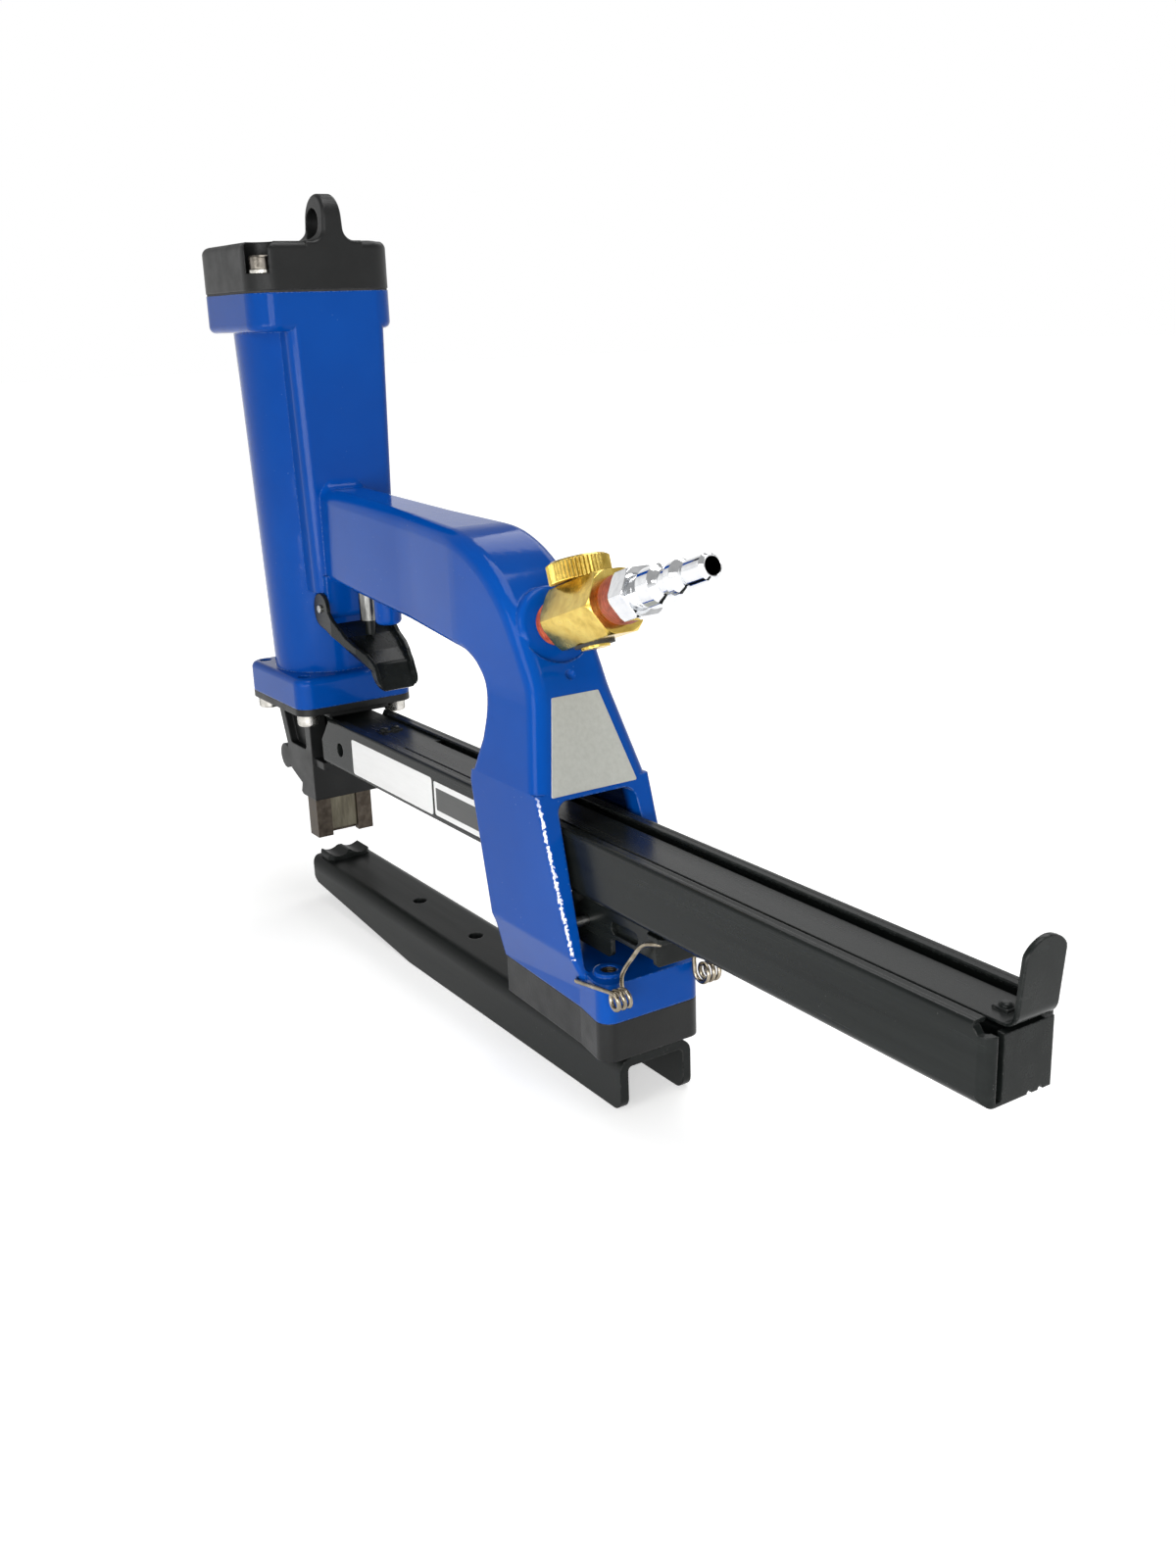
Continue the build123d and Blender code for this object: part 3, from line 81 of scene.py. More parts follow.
class Shader:
    """A node material with a Principled shader and short calls for its inputs."""

    def __init__(self, name, color, roughness, metallic=0.0):
        self.mat = bpy.data.materials.new(name)
        self.mat.use_nodes = True
        self.tree = self.mat.node_tree
        self.bsdf = self.tree.nodes["Principled BSDF"]
        self.set("Base Color", (*color, 1.0))
        self.set("Roughness", roughness)
        self.set("Metallic", metallic)
        self.coords = self.add("ShaderNodeTexCoord").outputs["Object"]

    def add(self, kind, **values):
        node = self.tree.nodes.new(kind)
        for key, value in values.items():
            setattr(node, key, value)
        return node

    def link(self, a, b):
        self.tree.links.new(a, b)

    def set(self, socket, value):
        self.bsdf.inputs[socket].default_value = value

    def axes(self):
        """The three coordinates of the surface point, in metres."""
        node = self.add("ShaderNodeSeparateXYZ")
        self.link(self.coords, node.inputs["Vector"])
        return node.outputs["X"], node.outputs["Y"], node.outputs["Z"]

    def noise(self, scale, detail=3.0, rough=0.5, stretch=None):
        node = self.add("ShaderNodeTexNoise")
        node.inputs["Scale"].default_value = scale
        node.inputs["Detail"].default_value = detail
        node.inputs["Roughness"].default_value = rough
        source = self.coords
        if stretch:
            mapping = self.add("ShaderNodeMapping")
            mapping.inputs["Scale"].default_value = stretch
            self.link(self.coords, mapping.inputs["Vector"])
            source = mapping.outputs["Vector"]
        self.link(source, node.inputs["Vector"])
        return node.outputs["Fac"]

    def spots(self, scale, size):
        """Small round spots scattered over the surface, 1 inside a spot."""
        node = self.add("ShaderNodeTexVoronoi")
        node.inputs["Scale"].default_value = scale
        self.link(self.coords, node.inputs["Vector"])
        return self.ramp(node.outputs["Distance"], size, size * 0.4)

    def near(self, point, outer, inner):
        """1 within the inner distance of a point, 0 beyond the outer one."""
        node = self.add("ShaderNodeVectorMath", operation="DISTANCE")
        self.link(self.coords, node.inputs[0])
        node.inputs[1].default_value = point
        return self.ramp(node.outputs["Value"], outer, inner)

    def ramp(self, fac, low, high, v0=0.0, v1=1.0):
        node = self.add("ShaderNodeMapRange")
        node.inputs["From Min"].default_value = low
        node.inputs["From Max"].default_value = high
        node.inputs["To Min"].default_value = v0
        node.inputs["To Max"].default_value = v1
        self.link(fac, node.inputs["Value"])
        return node.outputs["Result"]

    def math(self, op, a, b):
        node = self.add("ShaderNodeMath", operation=op)
        for i, value in enumerate((a, b)):
            if hasattr(value, "is_linked"):
                self.link(value, node.inputs[i])
            else:
                node.inputs[i].default_value = value
        return node.outputs["Value"]

    def times(self, *values):
        out = values[0]
        for value in values[1:]:
            out = self.math("MULTIPLY", out, value)
        return out

    def mix(self, fac, a, b):
        node = self.add("ShaderNodeMix", data_type="RGBA")
        self.link(fac, node.inputs["Factor"])
        for key, value in (("A", a), ("B", b)):
            sock = [s for s in node.inputs if s.name == key and s.type == "RGBA"][0]
            if hasattr(value, "is_linked"):
                self.link(value, sock)
            else:
                sock.default_value = (*value, 1.0)
        return [s for s in node.outputs if s.type == "RGBA"][0]

    def color(self, socket):
        self.link(socket, self.bsdf.inputs["Base Color"])

    def roughness(self, fac, low, high):
        self.link(self.ramp(fac, 0.3, 0.7, low, high), self.bsdf.inputs["Roughness"])

    def edge(self, radius):
        """Rounded normals along sharp edges, and a mask that is 1 there."""
        bevel = self.add("ShaderNodeBevel", samples=6)
        bevel.inputs["Radius"].default_value = radius
        geo = self.add("ShaderNodeNewGeometry")
        dot = self.add("ShaderNodeVectorMath", operation="DOT_PRODUCT")
        self.link(bevel.outputs["Normal"], dot.inputs[0])
        self.link(geo.outputs["True Normal"], dot.inputs[1])
        self.normal = bevel.outputs["Normal"]
        return self.ramp(dot.outputs["Value"], 0.995, 0.8)

    def bump(self, height, strength, distance):
        node = self.add("ShaderNodeBump")
        node.inputs["Strength"].default_value = strength
        node.inputs["Distance"].default_value = distance
        self.link(height, node.inputs["Height"])
        if hasattr(self, "normal"):
            self.link(self.normal, node.inputs["Normal"])
        self.link(node.outputs["Normal"], self.bsdf.inputs["Normal"])
        self.normal = node.outputs["Normal"]


# Places on the leg for its painted highlight streak and its painted shade, in metres
LEG_FOOT, LEG_CREASE, LEG_HALF = 0.048, 0.096, (0.0204, 0.0210)
# The white streak along the leg's rear left edge is partly worn paint and partly a painted
# highlight.
JAG, WORN_HIGHLIGHT, WORN_HIGHLIGHT_TOP = 0.00055, (-0.00075, -0.0006), (0.098, 0.090)
# Where the painted shade on the inner walls of the leg's window lies.
WINDOW_SHADE_BEHIND, WINDOW_SHADE_FRONT, WINDOW_SHADE_HALF = (-0.004, -0.008), (-0.009, -0.005), (0.0178, 0.0172)
WINDOW_SHADE_LOW, WINDOW_SHADE_TOP = (0.057, 0.064), (0.0955, 0.0945)


def leg_highlight_and_shade(s, paint):
    """A white streak along the leg's rear left edge, partly worn paint and partly a painted
    highlight, and painted shade inside its window.
    """
    x, y, z = s.axes()
    plane = (LEG_TOP[0] - X_MID + LEG_SLOPE * LEG_TOP[2]) * MM
    behind = s.math("SUBTRACT", s.math("ADD", x, s.times(z, LEG_SLOPE)), plane)
    half = s.ramp(z, LEG_FOOT, LEG_CREASE, *LEG_HALF)
    beside = s.math("SUBTRACT", s.times(y, -1.0), half)
    jag = s.ramp(s.noise(1000.0, 4.0, 0.6), 0.35, 0.65, -JAG, JAG)
    # White streak along the rear left edge: worn paint with a painted highlight on it.
    worn_highlight_line = s.times(
        s.ramp(s.math("ADD", behind, jag), *WORN_HIGHLIGHT),
        s.ramp(s.math("ADD", beside, jag), *WORN_HIGHLIGHT),
        s.ramp(z, *WORN_HIGHLIGHT_TOP),
    )
    # Near-white colour of the worn edge and its painted highlight.
    paint = s.mix(s.times(worn_highlight_line, 0.95), paint, (0.92, 0.95, 0.98))
    # Painted shade, nearly black, on the inner walls of the window.
    inside = s.times(
        s.ramp(behind, *WINDOW_SHADE_BEHIND),
        s.ramp(x, *WINDOW_SHADE_FRONT),
        s.ramp(s.math("ABSOLUTE", y, 0.0), *WINDOW_SHADE_HALF),
        s.ramp(z, *WINDOW_SHADE_LOW),
        s.ramp(z, *WINDOW_SHADE_TOP),
    )
    return s.mix(s.times(inside, 0.95), paint, (0.0015, 0.0025, 0.005))


def blue_enamel():
    """Glossy enamel on a casting: orange peel, a few pits, lighter edges of worn paint with a
    painted highlight, a painted highlight streak and painted shade on the leg, and a rough cast
    patch low on the barrel."""
    s = Shader("blue_enamel", (0.0, 0.08, 0.42), 0.1)
    s.set("Specular IOR Level", 0.11)
    worn = s.edge(0.0009)
    tone = s.ramp(s.noise(16.0, 3.0), 0.35, 0.65)
    paint = s.mix(tone, (0.0, 0.0565, 0.314), (0.001, 0.069, 0.364))
    few = s.ramp(s.noise(60.0, 2.0), 0.56, 0.62)
    pits = s.times(s.spots(420.0, 0.10), few)
    paint = s.mix(s.times(pits, 0.5), paint, (0.18, 0.30, 0.52))
    # Lighter sharp edges: worn paint, with a painted edge highlight.
    ragged = s.ramp(s.noise(900.0, 4.0), 0.46, 0.58)
    paint = s.mix(s.times(worn, ragged, 0.25), paint, (0.25, 0.40, 0.65))
    # Painted highlight streak and painted shade on the leg.
    paint = leg_highlight_and_shade(s, paint)
    s.color(paint)
    s.roughness(s.noise(90.0, 3.0), 0.07, 0.13)
    patch = s.near(at(13.9, -17.3, 139.1), 0.0075, 0.0045)
    cast = s.times(patch, s.noise(650.0, 5.0, 0.65), 7.0)
    peel = s.math("ADD", s.noise(330.0, 2.0), s.times(pits, -0.6))
    s.bump(s.math("ADD", peel, cast), 0.07, 0.0004)
    return s.mat


def black_enamel():
    """Satin black paint with rubbed edges."""
    s = Shader("black_enamel", (0.008, 0.0085, 0.0085), 0.4)
    s.set("Specular IOR Level", 0.25)
    worn = s.edge(0.0008)
    tone = s.ramp(s.noise(40.0, 4.0), 0.35, 0.65)
    paint = s.mix(tone, (0.006, 0.0065, 0.0065), (0.011, 0.0115, 0.0115))
    ragged = s.ramp(s.noise(700.0, 4.0), 0.5, 0.66)
    paint = s.mix(s.times(worn, ragged, 0.35), paint, (0.08, 0.08, 0.08))
    s.color(paint)
    s.roughness(s.noise(120.0, 3.0), 0.32, 0.46)
    s.bump(s.noise(1500.0, 2.0), 0.14, 0.0003)
    return s.mat


def black_steel(name, dark, light, rough_low, rough_high):
    """Blackened sheet: faint streaks along its length, dust specks, bare edges."""
    s = Shader(name, light, rough_high)
    s.set("Specular IOR Level", 0.15)
    worn = s.edge(0.0006)
    streak = s.noise(30.0, 5.0, 0.6, (0.3, 6.0, 6.0))
    paint = s.mix(s.ramp(streak, 0.35, 0.68), dark, light)
    few = s.ramp(s.noise(45.0, 2.0), 0.58, 0.64)
    dust = s.times(s.spots(500.0, 0.09), few)
    paint = s.mix(s.times(dust, 0.35), paint, (0.20, 0.20, 0.19))
    ragged = s.ramp(s.noise(800.0, 4.0), 0.48, 0.62)
    paint = s.mix(s.times(worn, ragged, 0.4), paint, (0.12, 0.12, 0.115))
    s.color(paint)
    s.roughness(streak, rough_low, rough_high)
    s.bump(s.noise(1100.0, 2.0), 0.06, 0.0003)
    return s.mat


EVEN, UPRIGHT, ALONG_X = (1.0, 1.0, 1.0), (1.0, 1.0, 0.2), (0.2, 1.0, 1.0)
METAL_EDGE = 0.0004


def metal(name, dark, light, rough_low, rough_high, grain=EVEN, scale=300.0):
    """Bare metal with fine lines along its grain."""
    s = Shader(name, light, rough_high, 1.0)
    s.edge(METAL_EDGE)
    lines = s.noise(scale, 4.0, 0.6, grain)
    s.color(s.mix(s.ramp(lines, 0.35, 0.65), dark, light))
    s.roughness(lines, rough_low, rough_high)
    s.bump(lines, 0.06, 0.0002)
    return s.mat


def sealant(name, dark, light):
    """Cured thread sealant, slightly translucent."""
    s = Shader(name, light, 0.5)
    s.set("Subsurface Weight", 0.1)
    s.set("Subsurface Radius", (0.001, 0.0004, 0.0002))
    blobs = s.noise(500.0, 4.0)
    s.color(s.mix(s.ramp(blobs, 0.35, 0.65), dark, light))
    s.roughness(blobs, 0.35, 0.6)
    s.bump(blobs, 0.4, 0.0005)
    return s.mat


def label_stock(name, color, other, rough, metallic):
    """Bare label with a faint grain."""
    s = Shader(name, color, rough, metallic)
    grain = s.noise(700.0, 3.0, 0.6, (0.15, 1.0, 1.0))
    s.color(s.mix(s.ramp(grain, 0.3, 0.7), other, color))
    s.roughness(grain, rough - 0.06, rough + 0.06)
    s.bump(grain, 0.05, 0.0002)
    return s.mat


def rubber():
    s = Shader("rubber", (0.02, 0.02, 0.02), 0.7)
    grain = s.noise(900.0, 3.0)
    s.color(s.mix(s.ramp(grain, 0.3, 0.7), (0.014, 0.014, 0.014), (0.028, 0.028, 0.028)))
    s.bump(grain, 0.2, 0.0003)
    return s.mat


look = {
    "blue_enamel": blue_enamel(),
    "black_enamel": black_enamel(),
    "black_steel": black_steel(
        "black_steel", (0.0065, 0.0080, 0.0076), (0.012, 0.0142, 0.0136), 0.2, 0.3
    ),
    "arm_steel": black_steel(
        "arm_steel", (0.0055, 0.0068, 0.0064), (0.011, 0.0128, 0.0122), 0.34, 0.46
    ),
    "nickel": metal("nickel", (0.50, 0.48, 0.44), (0.74, 0.72, 0.68), 0.18, 0.32),
    "spring_steel": metal("spring_steel", (0.20, 0.17, 0.12), (0.40, 0.35, 0.27), 0.16, 0.30),
    "steel": metal("steel", (0.36, 0.36, 0.34), (0.55, 0.55, 0.53), 0.25, 0.42, ALONG_X),
    "dark_steel": metal("dark_steel", (0.055, 0.045, 0.036), (0.11, 0.092, 0.074), 0.35, 0.55),
    "olive_steel": metal(
        "olive_steel", (0.10, 0.09, 0.067), (0.19, 0.175, 0.13), 0.3, 0.45, UPRIGHT
    ),
    "aged_nickel": metal("aged_nickel", (0.15, 0.135, 0.115), (0.34, 0.31, 0.27), 0.25, 0.4),
    "plunger_steel": metal(
        "plunger_steel", (0.08, 0.08, 0.077), (0.26, 0.26, 0.25), 0.18, 0.32, UPRIGHT
    ),
    "brass": metal("brass", (0.62, 0.42, 0.085), (0.88, 0.66, 0.17), 0.14, 0.28, scale=220.0),
    "chrome": metal("chrome", (0.74, 0.75, 0.77), (0.88, 0.89, 0.90), 0.03, 0.08),
    "sleeve_alloy": metal("sleeve_alloy", (0.55, 0.55, 0.56), (0.72, 0.72, 0.73), 0.25, 0.4),
    "rubber": rubber(),
    "sealant_red": sealant("sealant_red", (0.40, 0.060, 0.020), (0.62, 0.13, 0.045)),
    "sealant_brown": sealant("sealant_brown", (0.20, 0.040, 0.022), (0.34, 0.075, 0.040)),
    "label_alloy": label_stock(
        "label_alloy", (0.52, 0.53, 0.49), (0.46, 0.47, 0.43), 0.36, 0.5
    ),
    "label_white": label_stock(
        "label_white", (0.86, 0.86, 0.85), (0.82, 0.82, 0.81), 0.35, 0.0
    ),
    "label_grey": label_stock(
        "label_grey", (0.045, 0.047, 0.045), (0.036, 0.038, 0.036), 0.35, 0.0
    ),
}

slot_of = {s["node"]: s["material_slot"] for s in frame["record"]["subparts"]}
special = {
    "anvil_arm": "arm_steel",
    "anvil": "arm_steel",
    "guide_plate": "olive_steel",
    "core_rail": "black_steel",
    "pusher": "black_steel",
    "valve_bush": "plunger_steel",
    "valve_stem": "black_steel",
}

for name, obj in nodes.items():
    finish = look[special.get(name, slot_of[name])]
    if len(obj.material_slots) == 0:
        obj.data.materials.append(finish)
    for slot in obj.material_slots:
        slot.material = finish


# Pieces made here


def piece(name, bm, finish, body, smooth=None):
    """Object from a finished mesh, with its finish, body and slot. smooth is the angle in
    degrees above which edges stay sharp."""
    mesh = bpy.data.meshes.new(name)
    bmesh.ops.recalc_face_normals(bm, faces=bm.faces[:])
    bm.to_mesh(mesh)
    bm.free()
    obj = bpy.data.objects.new(name, mesh)
    scene.collection.objects.link(obj)
    obj.data.materials.append(look[finish])
    if smooth is not None:
        for p in mesh.polygons:
            p.use_smooth = True
        mesh.set_sharp_from_angle(angle=math.radians(smooth))
    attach(obj, body)
    return obj


def rings(bm, loops):
    """Closed skin over a row of closed loops with equal counts."""
    made = [[bm.verts.new(p) for p in loop] for loop in loops]
    n = len(made[0])
    for a, b in zip(made, made[1:]):
        for i in range(n):
            bm.faces.new((a[i], a[(i + 1) % n], b[(i + 1) % n], b[i]))
    bm.faces.new(list(reversed(made[0])))
    bm.faces.new(made[-1])


def turn(n):
    """Angles of n points round a circle."""
    return [2 * math.pi * i / n for i in range(n)]


def turned(bm, x, y, profile, sides):
    """Solid round an upright axis, from a profile of radii and heights."""
    loops = []
    for r, z in profile:
        loops.append([at(x + r * math.cos(a), y + r * math.sin(a), z) for a in turn(sides)])
    rings(bm, loops)


def socket_screw(bm, place, shank):
    """Socket screw with a knurled head and a hexagon hole. The head's seat lies at the origin
    of place and the head stands on its +Z side."""
    n = 72
    knurl_depth = 0.16

    def loop(radius, z, knurl=0.0, hexagon=False):
        out = []
        for i, a in enumerate(turn(n)):
            r = radius - (knurl if i % 2 else 0.0)
            if hexagon:
                off = (a + math.pi / 6) % (math.pi / 3) - math.pi / 6
                r = radius / math.cos(off)
            out.append(place @ Vector((r * math.cos(a) * MM, r * math.sin(a) * MM, z * MM)))
        return out

    r, h, flat = SCREW_HEAD_R, SCREW_HEAD_H, SOCKET_FLATS / 2
    rings(
        bm,
        [
            loop(SCREW_R - 0.3, -shank),
            loop(SCREW_R, -shank + 0.4),
            loop(SCREW_R, 0),
            loop(r - 0.35, 0),
            loop(r - 0.05, 0.3),
            loop(r, 0.45, knurl_depth),
            loop(r, h - 0.9, knurl_depth),
            loop(r - 0.1, h - 0.65),
            loop(r - 0.5, h - 0.12),
            loop(r - 0.8, h),
            loop(flat + 0.25, h, hexagon=True),
            loop(flat, h - 0.25, hexagon=True),
            loop(flat, h * 0.45, hexagon=True),
        ],
    )


DOWN = Matrix.Rotation(math.pi, 4, "X")
SCREW_SHARP = 35

cap_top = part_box("cap_screws")[1].z
bm = bmesh.new()
for i, (x, y) in enumerate(CAP_SCREWS):
    p = at(x, y, 0)
    p.z = cap_top - SCREW_HEAD_H * MM
    twist = Matrix.Rotation(0.3 + 0.7 * i, 4, "Z")
    socket_screw(bm, Matrix.Translation(p) @ twist, CAP_SHANK)
screws = piece("cap_socket_screws", bm, "aged_nickel", "frame", SCREW_SHARP)
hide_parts("cap_screws")


def hanging_screws(name, node, places, shank):
    """Socket screws with their heads down, in the place of a node."""
    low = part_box(node)[0]
    bm = bmesh.new()
    for x, y in places:
        p = at(x, y, 0)
        p.z = low.z + SCREW_HEAD_H * MM
        socket_screw(bm, Matrix.Translation(p) @ DOWN, shank)
    screws = piece(name, bm, "nickel", "frame", SCREW_SHARP)
    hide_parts(node)


nose_places = [(sx * NOSE_SCREW_X, sy * NOSE_SCREW_Y) for sx in (-1, 1) for sy in (-1, 1)]
hanging_screws("nose_socket_screws", "nose_screws", nose_places, NOSE_SHANK)
bolt_places = [(x, sy * BOLT_Y) for x in BOLT_X for sy in (-1, 1)]
hanging_screws("arm_socket_bolts", "arm_bolts", bolt_places, BOLT_SHANK)


# Sealant on the two pipe threads

ALONG_INLET = Matrix.Translation(at(*INLET_AT)) @ Matrix(
    (
        (0.0, -math.sin(INLET_RISE), math.cos(INLET_RISE), 0.0),
        (1.0, 0.0, 0.0, 0.0),
        (0.0, math.cos(INLET_RISE), math.sin(INLET_RISE), 0.0),
        (0.0, 0.0, 0.0, 1.0),
    )
)


def wobble(a, s, seed):
    """Smooth lumps round a ring, the same each time."""
    return (
        0.5 * math.sin(3 * a + 1.7 * seed + 2.1 * s)
        + 0.35 * math.sin(7 * a - 2.3 * seed + 3.7 * s)
        + 0.25 * math.sin(13 * a + 0.9 * seed - 5.3 * s)
        + 0.15 * math.sin(23 * a - 1.1 * seed + 8.9 * s)
    )


def sealant_ring(name, node, finish, s0, s1, radius, lump, ridge, turns, seed):
    """Smeared ring from station s0 to s1, with lumps and the ridges of the thread below."""
    n = 96
    steps = 48
    loops = []
    for j in range(steps + 1):
        t = j / steps
        fade = min(1.0, 6 * t, 6 * (1 - t))
        loop = []
        for a in turn(n):
            thread = math.sin(2 * math.pi * turns * t + a)
            rough = lump * wobble(a, 2.2 * t, seed) + ridge * thread
            r = radius + rough * fade - 0.25 * (1 - fade)
            v = Vector((r * math.cos(a), r * math.sin(a), s0 + (s1 - s0) * t)) * MM
            loop.append(ALONG_INLET @ v)
        loops.append(loop)
    bm = bmesh.new()
    rings(bm, loops)
    obj = piece(name, bm, finish, "frame", 60)
    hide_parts(node)


sealant_ring("inlet_sealant", "inlet_seal", "sealant_red", 6.0, 14.2, 7.1, 0.16, 0.06, 6, 1.0)
sealant_ring("plug_sealant", "plug_seal", "sealant_brown", 43.2, 49.4, 7.4, 0.10, 0.09, 5, 2.0)


# Torsion springs of the latch


ARC_STEPS = 8


def rounded(points, radius):
    """Points of a path whose corners are arcs."""
    out = [points[0]]
    for before, p, after in zip(points, points[1:], points[2:]):
        a = (before - p).normalized()
        b = (after - p).normalized()
        half = a.angle(b) / 2
        middle = p + (a + b).normalized() * (radius / math.sin(half))
        start = p + a * (radius / math.tan(half)) - middle
        end = p + b * (radius / math.tan(half)) - middle
        for k in range(ARC_STEPS + 1):
            out.append(middle + start.slerp(end, k / ARC_STEPS) * radius)
    return out + [points[-1]]


def smooth(points, steps):
    """Points of a smooth curve through the given ones."""
    ends = [points[0] * 2 - points[1]] + points + [points[-1] * 2 - points[-2]]
    out = []
    for a, b, c, d in zip(ends, ends[1:], ends[2:], ends[3:]):
        for k in range(steps):
            u = k / steps
            lead = (c - a) * u + (a * 2 - b * 5 + c * 4 - d) * (u * u)
            out.append(b + (lead + (b * 3 - a - c * 3 + d) * (u * u * u)) / 2)
    return out + [points[-1]]


def tube(bm, path, radius, sides=16):
    """Round wire along a path, with eased ends."""
    loops = []
    across = None
    for i, p in enumerate(path):
        way = (path[min(i + 1, len(path) - 1)] - path[max(i - 1, 0)]).normalized()
        if across is None:
            across = way.orthogonal()
        across = (across - way * across.dot(way)).normalized()
        other = way.cross(across)
        ring = [across * math.cos(a) + other * math.sin(a) for a in turn(sides)]
        for out, size in ((-0.3, 0.75), (0.0, 1.0)) if i == 0 else ((0.0, 1.0), (0.3, 0.75)):
            if 0 < i < len(path) - 1 and size < 1.0:
                continue
            loops.append([p + way * (radius * out) + v * (radius * size) for v in ring])
    rings(bm, loops)


WIRE_R, COIL_R, COIL_PITCH, COIL_TURNS = 0.7, 2.8, 2.1, 2.75
COIL_X, COIL_Z, SPRING_Y = 233.5, 41.1, -19.25
FOOT_X, FOOT_Z, FOOT_IN = 213.0, 40.6, 4.6
FOOT_ROUND, COIL_STEPS, ARM_STEPS = 1.68, 110, 12
ARM_RISE, ARM_BENDS = 6, ((235.5, 54.4), (240.0, 59.4), (247.0, 61.85))
ARM_LEAN = math.tan(math.radians(8.4))
run_x, run_z = COIL_X - FOOT_X, COIL_Z - FOOT_Z
coil_from = -math.atan2(run_z, run_x) - math.asin(COIL_R / math.hypot(run_x, run_z))
coil_to = 2 * math.pi * COIL_TURNS


def coil_point(a):
    """Point of the left coil after a turn by a."""
    y = SPRING_Y + COIL_PITCH * max(a, 0) / (2 * math.pi)
    return Vector((COIL_X + COIL_R * math.sin(a), y, COIL_Z + COIL_R * math.cos(a)))


foot = [
    Vector((FOOT_X, SPRING_Y + FOOT_IN, FOOT_Z)),
    Vector((FOOT_X, SPRING_Y, FOOT_Z)),
    coil_point(coil_from),
]
coil = []
for i in range(COIL_STEPS + 1):
    coil.append(coil_point(coil_from + (coil_to - coil_from) * i / COIL_STEPS))
top = coil[-1]
arm = [top, top + Vector((0, 0, ARM_RISE))]
for x, z in ARM_BENDS:
    arm.append(Vector((x, top.y + (x - top.x) * ARM_LEAN, z)))
spring_path = rounded(foot, FOOT_ROUND)[:-1] + coil + smooth(arm, ARM_STEPS)[1:]
bm = bmesh.new()
for sy in (1, -1):
    tube(bm, [at(p.x, sy * p.y, p.z) for p in spring_path], WIRE_R * MM)
springs = piece("latch_spring_wires", bm, "spring_steel", "frame", 50)
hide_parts("latch_springs")
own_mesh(springs)


# Coil springs of the feed and of the valve


TURN_STEPS = 16


def coil_spring(name, node, axis, wire, pitch, body):
    """Helix in the space of a node."""
    low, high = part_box(node)
    middle = (low + high) / 2
    length = high[axis] - low[axis] - 2.2 * wire
    radius = (high[1] - low[1]) / 2 - wire
    steps = round(length / pitch * TURN_STEPS)
    path = []
    for i in range(steps + 1):
        a = 2 * math.pi * i / TURN_STEPS
        p = middle.copy()
        p[axis] = low[axis] + 1.1 * wire + length * i / steps
        others = [k for k in range(3) if k != axis]
        p[others[0]] += radius * math.cos(a)
        p[others[1]] += radius * math.sin(a)
        path.append(p)
    bm = bmesh.new()
    tube(bm, path, wire, 8)
    obj = piece(name, bm, "steel", body, 60)
    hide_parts(node)
    end = middle.copy()
    end[axis] = high[axis]
    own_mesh(obj)


coil_spring(
    "feed_spring_coil", "feed_spring", 0, 0.00035, 0.0036, "magazine"
)
coil_spring(
    "valve_spring_coil", "valve_spring", 2, 0.0004, 0.0018, "frame"
)


# Black plate across the leg's window in front of the latch, a dark sheet that stands in for the
# shade there, and the strap between the latch's cheeks


def outline(bm, points, x0, x1):
    """Solid between two stations along X from an outline given as (y, z)."""
    rings(bm, [[at(x, y, z) for y, z in points] for x in (x0, x1)])


SHADE_PLATE_X, PLATE_HALF, PLATE_GAP = (199.1, 200.1), 15.6, 6.2
PLATE_LOW, PLATE_MID, PLATE_HIGH = 47.8, 54.6, 63.5
# The plate is a dark sheet standing in for the shade inside the window.
bm = bmesh.new()
outline(
    bm,
    [
        (-PLATE_HALF, PLATE_LOW),
        (-PLATE_GAP, PLATE_LOW),
        (-PLATE_GAP, PLATE_MID),
        (PLATE_GAP, PLATE_MID),
        (PLATE_GAP, PLATE_LOW),
        (PLATE_HALF, PLATE_LOW),
        (PLATE_HALF, PLATE_HIGH),
        (-PLATE_HALF, PLATE_HIGH),
    ],
    *SHADE_PLATE_X,
)
STRAP_X = (218.5, 234.4)
STRAP_HALF, STRAP_LOW, STRAP_HIGH, STRAP_CUT = 7.9, 54.7, 61.5, 1.0
outline(
    bm,
    [
        (-STRAP_HALF, STRAP_LOW),
        (STRAP_HALF, STRAP_LOW),
        (STRAP_HALF, STRAP_HIGH - STRAP_CUT),
        (STRAP_HALF - STRAP_CUT, STRAP_HIGH),
        (STRAP_CUT - STRAP_HALF, STRAP_HIGH),
        (-STRAP_HALF, STRAP_HIGH - STRAP_CUT),
    ],
    *STRAP_X,
)
piece("shade_plate_and_latch_strap", bm, "black_steel", "latch")


# Cover strip below the rails of the magazine, with its tab, pads and rivet heads

STRIP_FRONT, STRIP_WIDE_END, STRIP_STEP = 12.0, 80.0, 0.02
STRIP_WIDE, STRIP_HALF = 9.3, 6.6
STRIP_LOW, STRIP_THICK, TAB_THICK, TAB_BEND = 82.7, 0.8, 1.5, 4.6
TAB_BACK, TAB_TOP, TAB_LEAN = 375.2, 104.5, 0.1
TAB_ENDS = (
    (100.2, 6.6),
    (101.0, 6.4),
    (101.7, 5.95),
    (102.4, 5.3),
    (103.0, 4.6),
    (103.5, 3.8),
    (103.9, 3.0),
    (104.2, 2.2),
    (104.4, 1.4),
    (104.5, 0.5),
)


def strip_loop(p, way, half, thick):
    """Section of the strip: its lower face passes through p, across the way it runs."""
    up = Vector((-way.z, 0, way.x))
    ease = min(0.25, half * 0.4)
    points = [
        (-half + ease, 0),
        (half - ease, 0),
        (half, ease),
        (half, thick - ease),
        (half - ease, thick),
        (ease - half, thick),
        (-half, thick - ease),
        (-half, ease),
    ]
    return [at(p.x + up.x * h, y, p.z + up.z * h) for y, h in points]


def tab_face(z):
    """Where the tab's leaning face lies along X at a height."""
    return TAB_BACK - (TAB_TOP - z) * TAB_LEAN


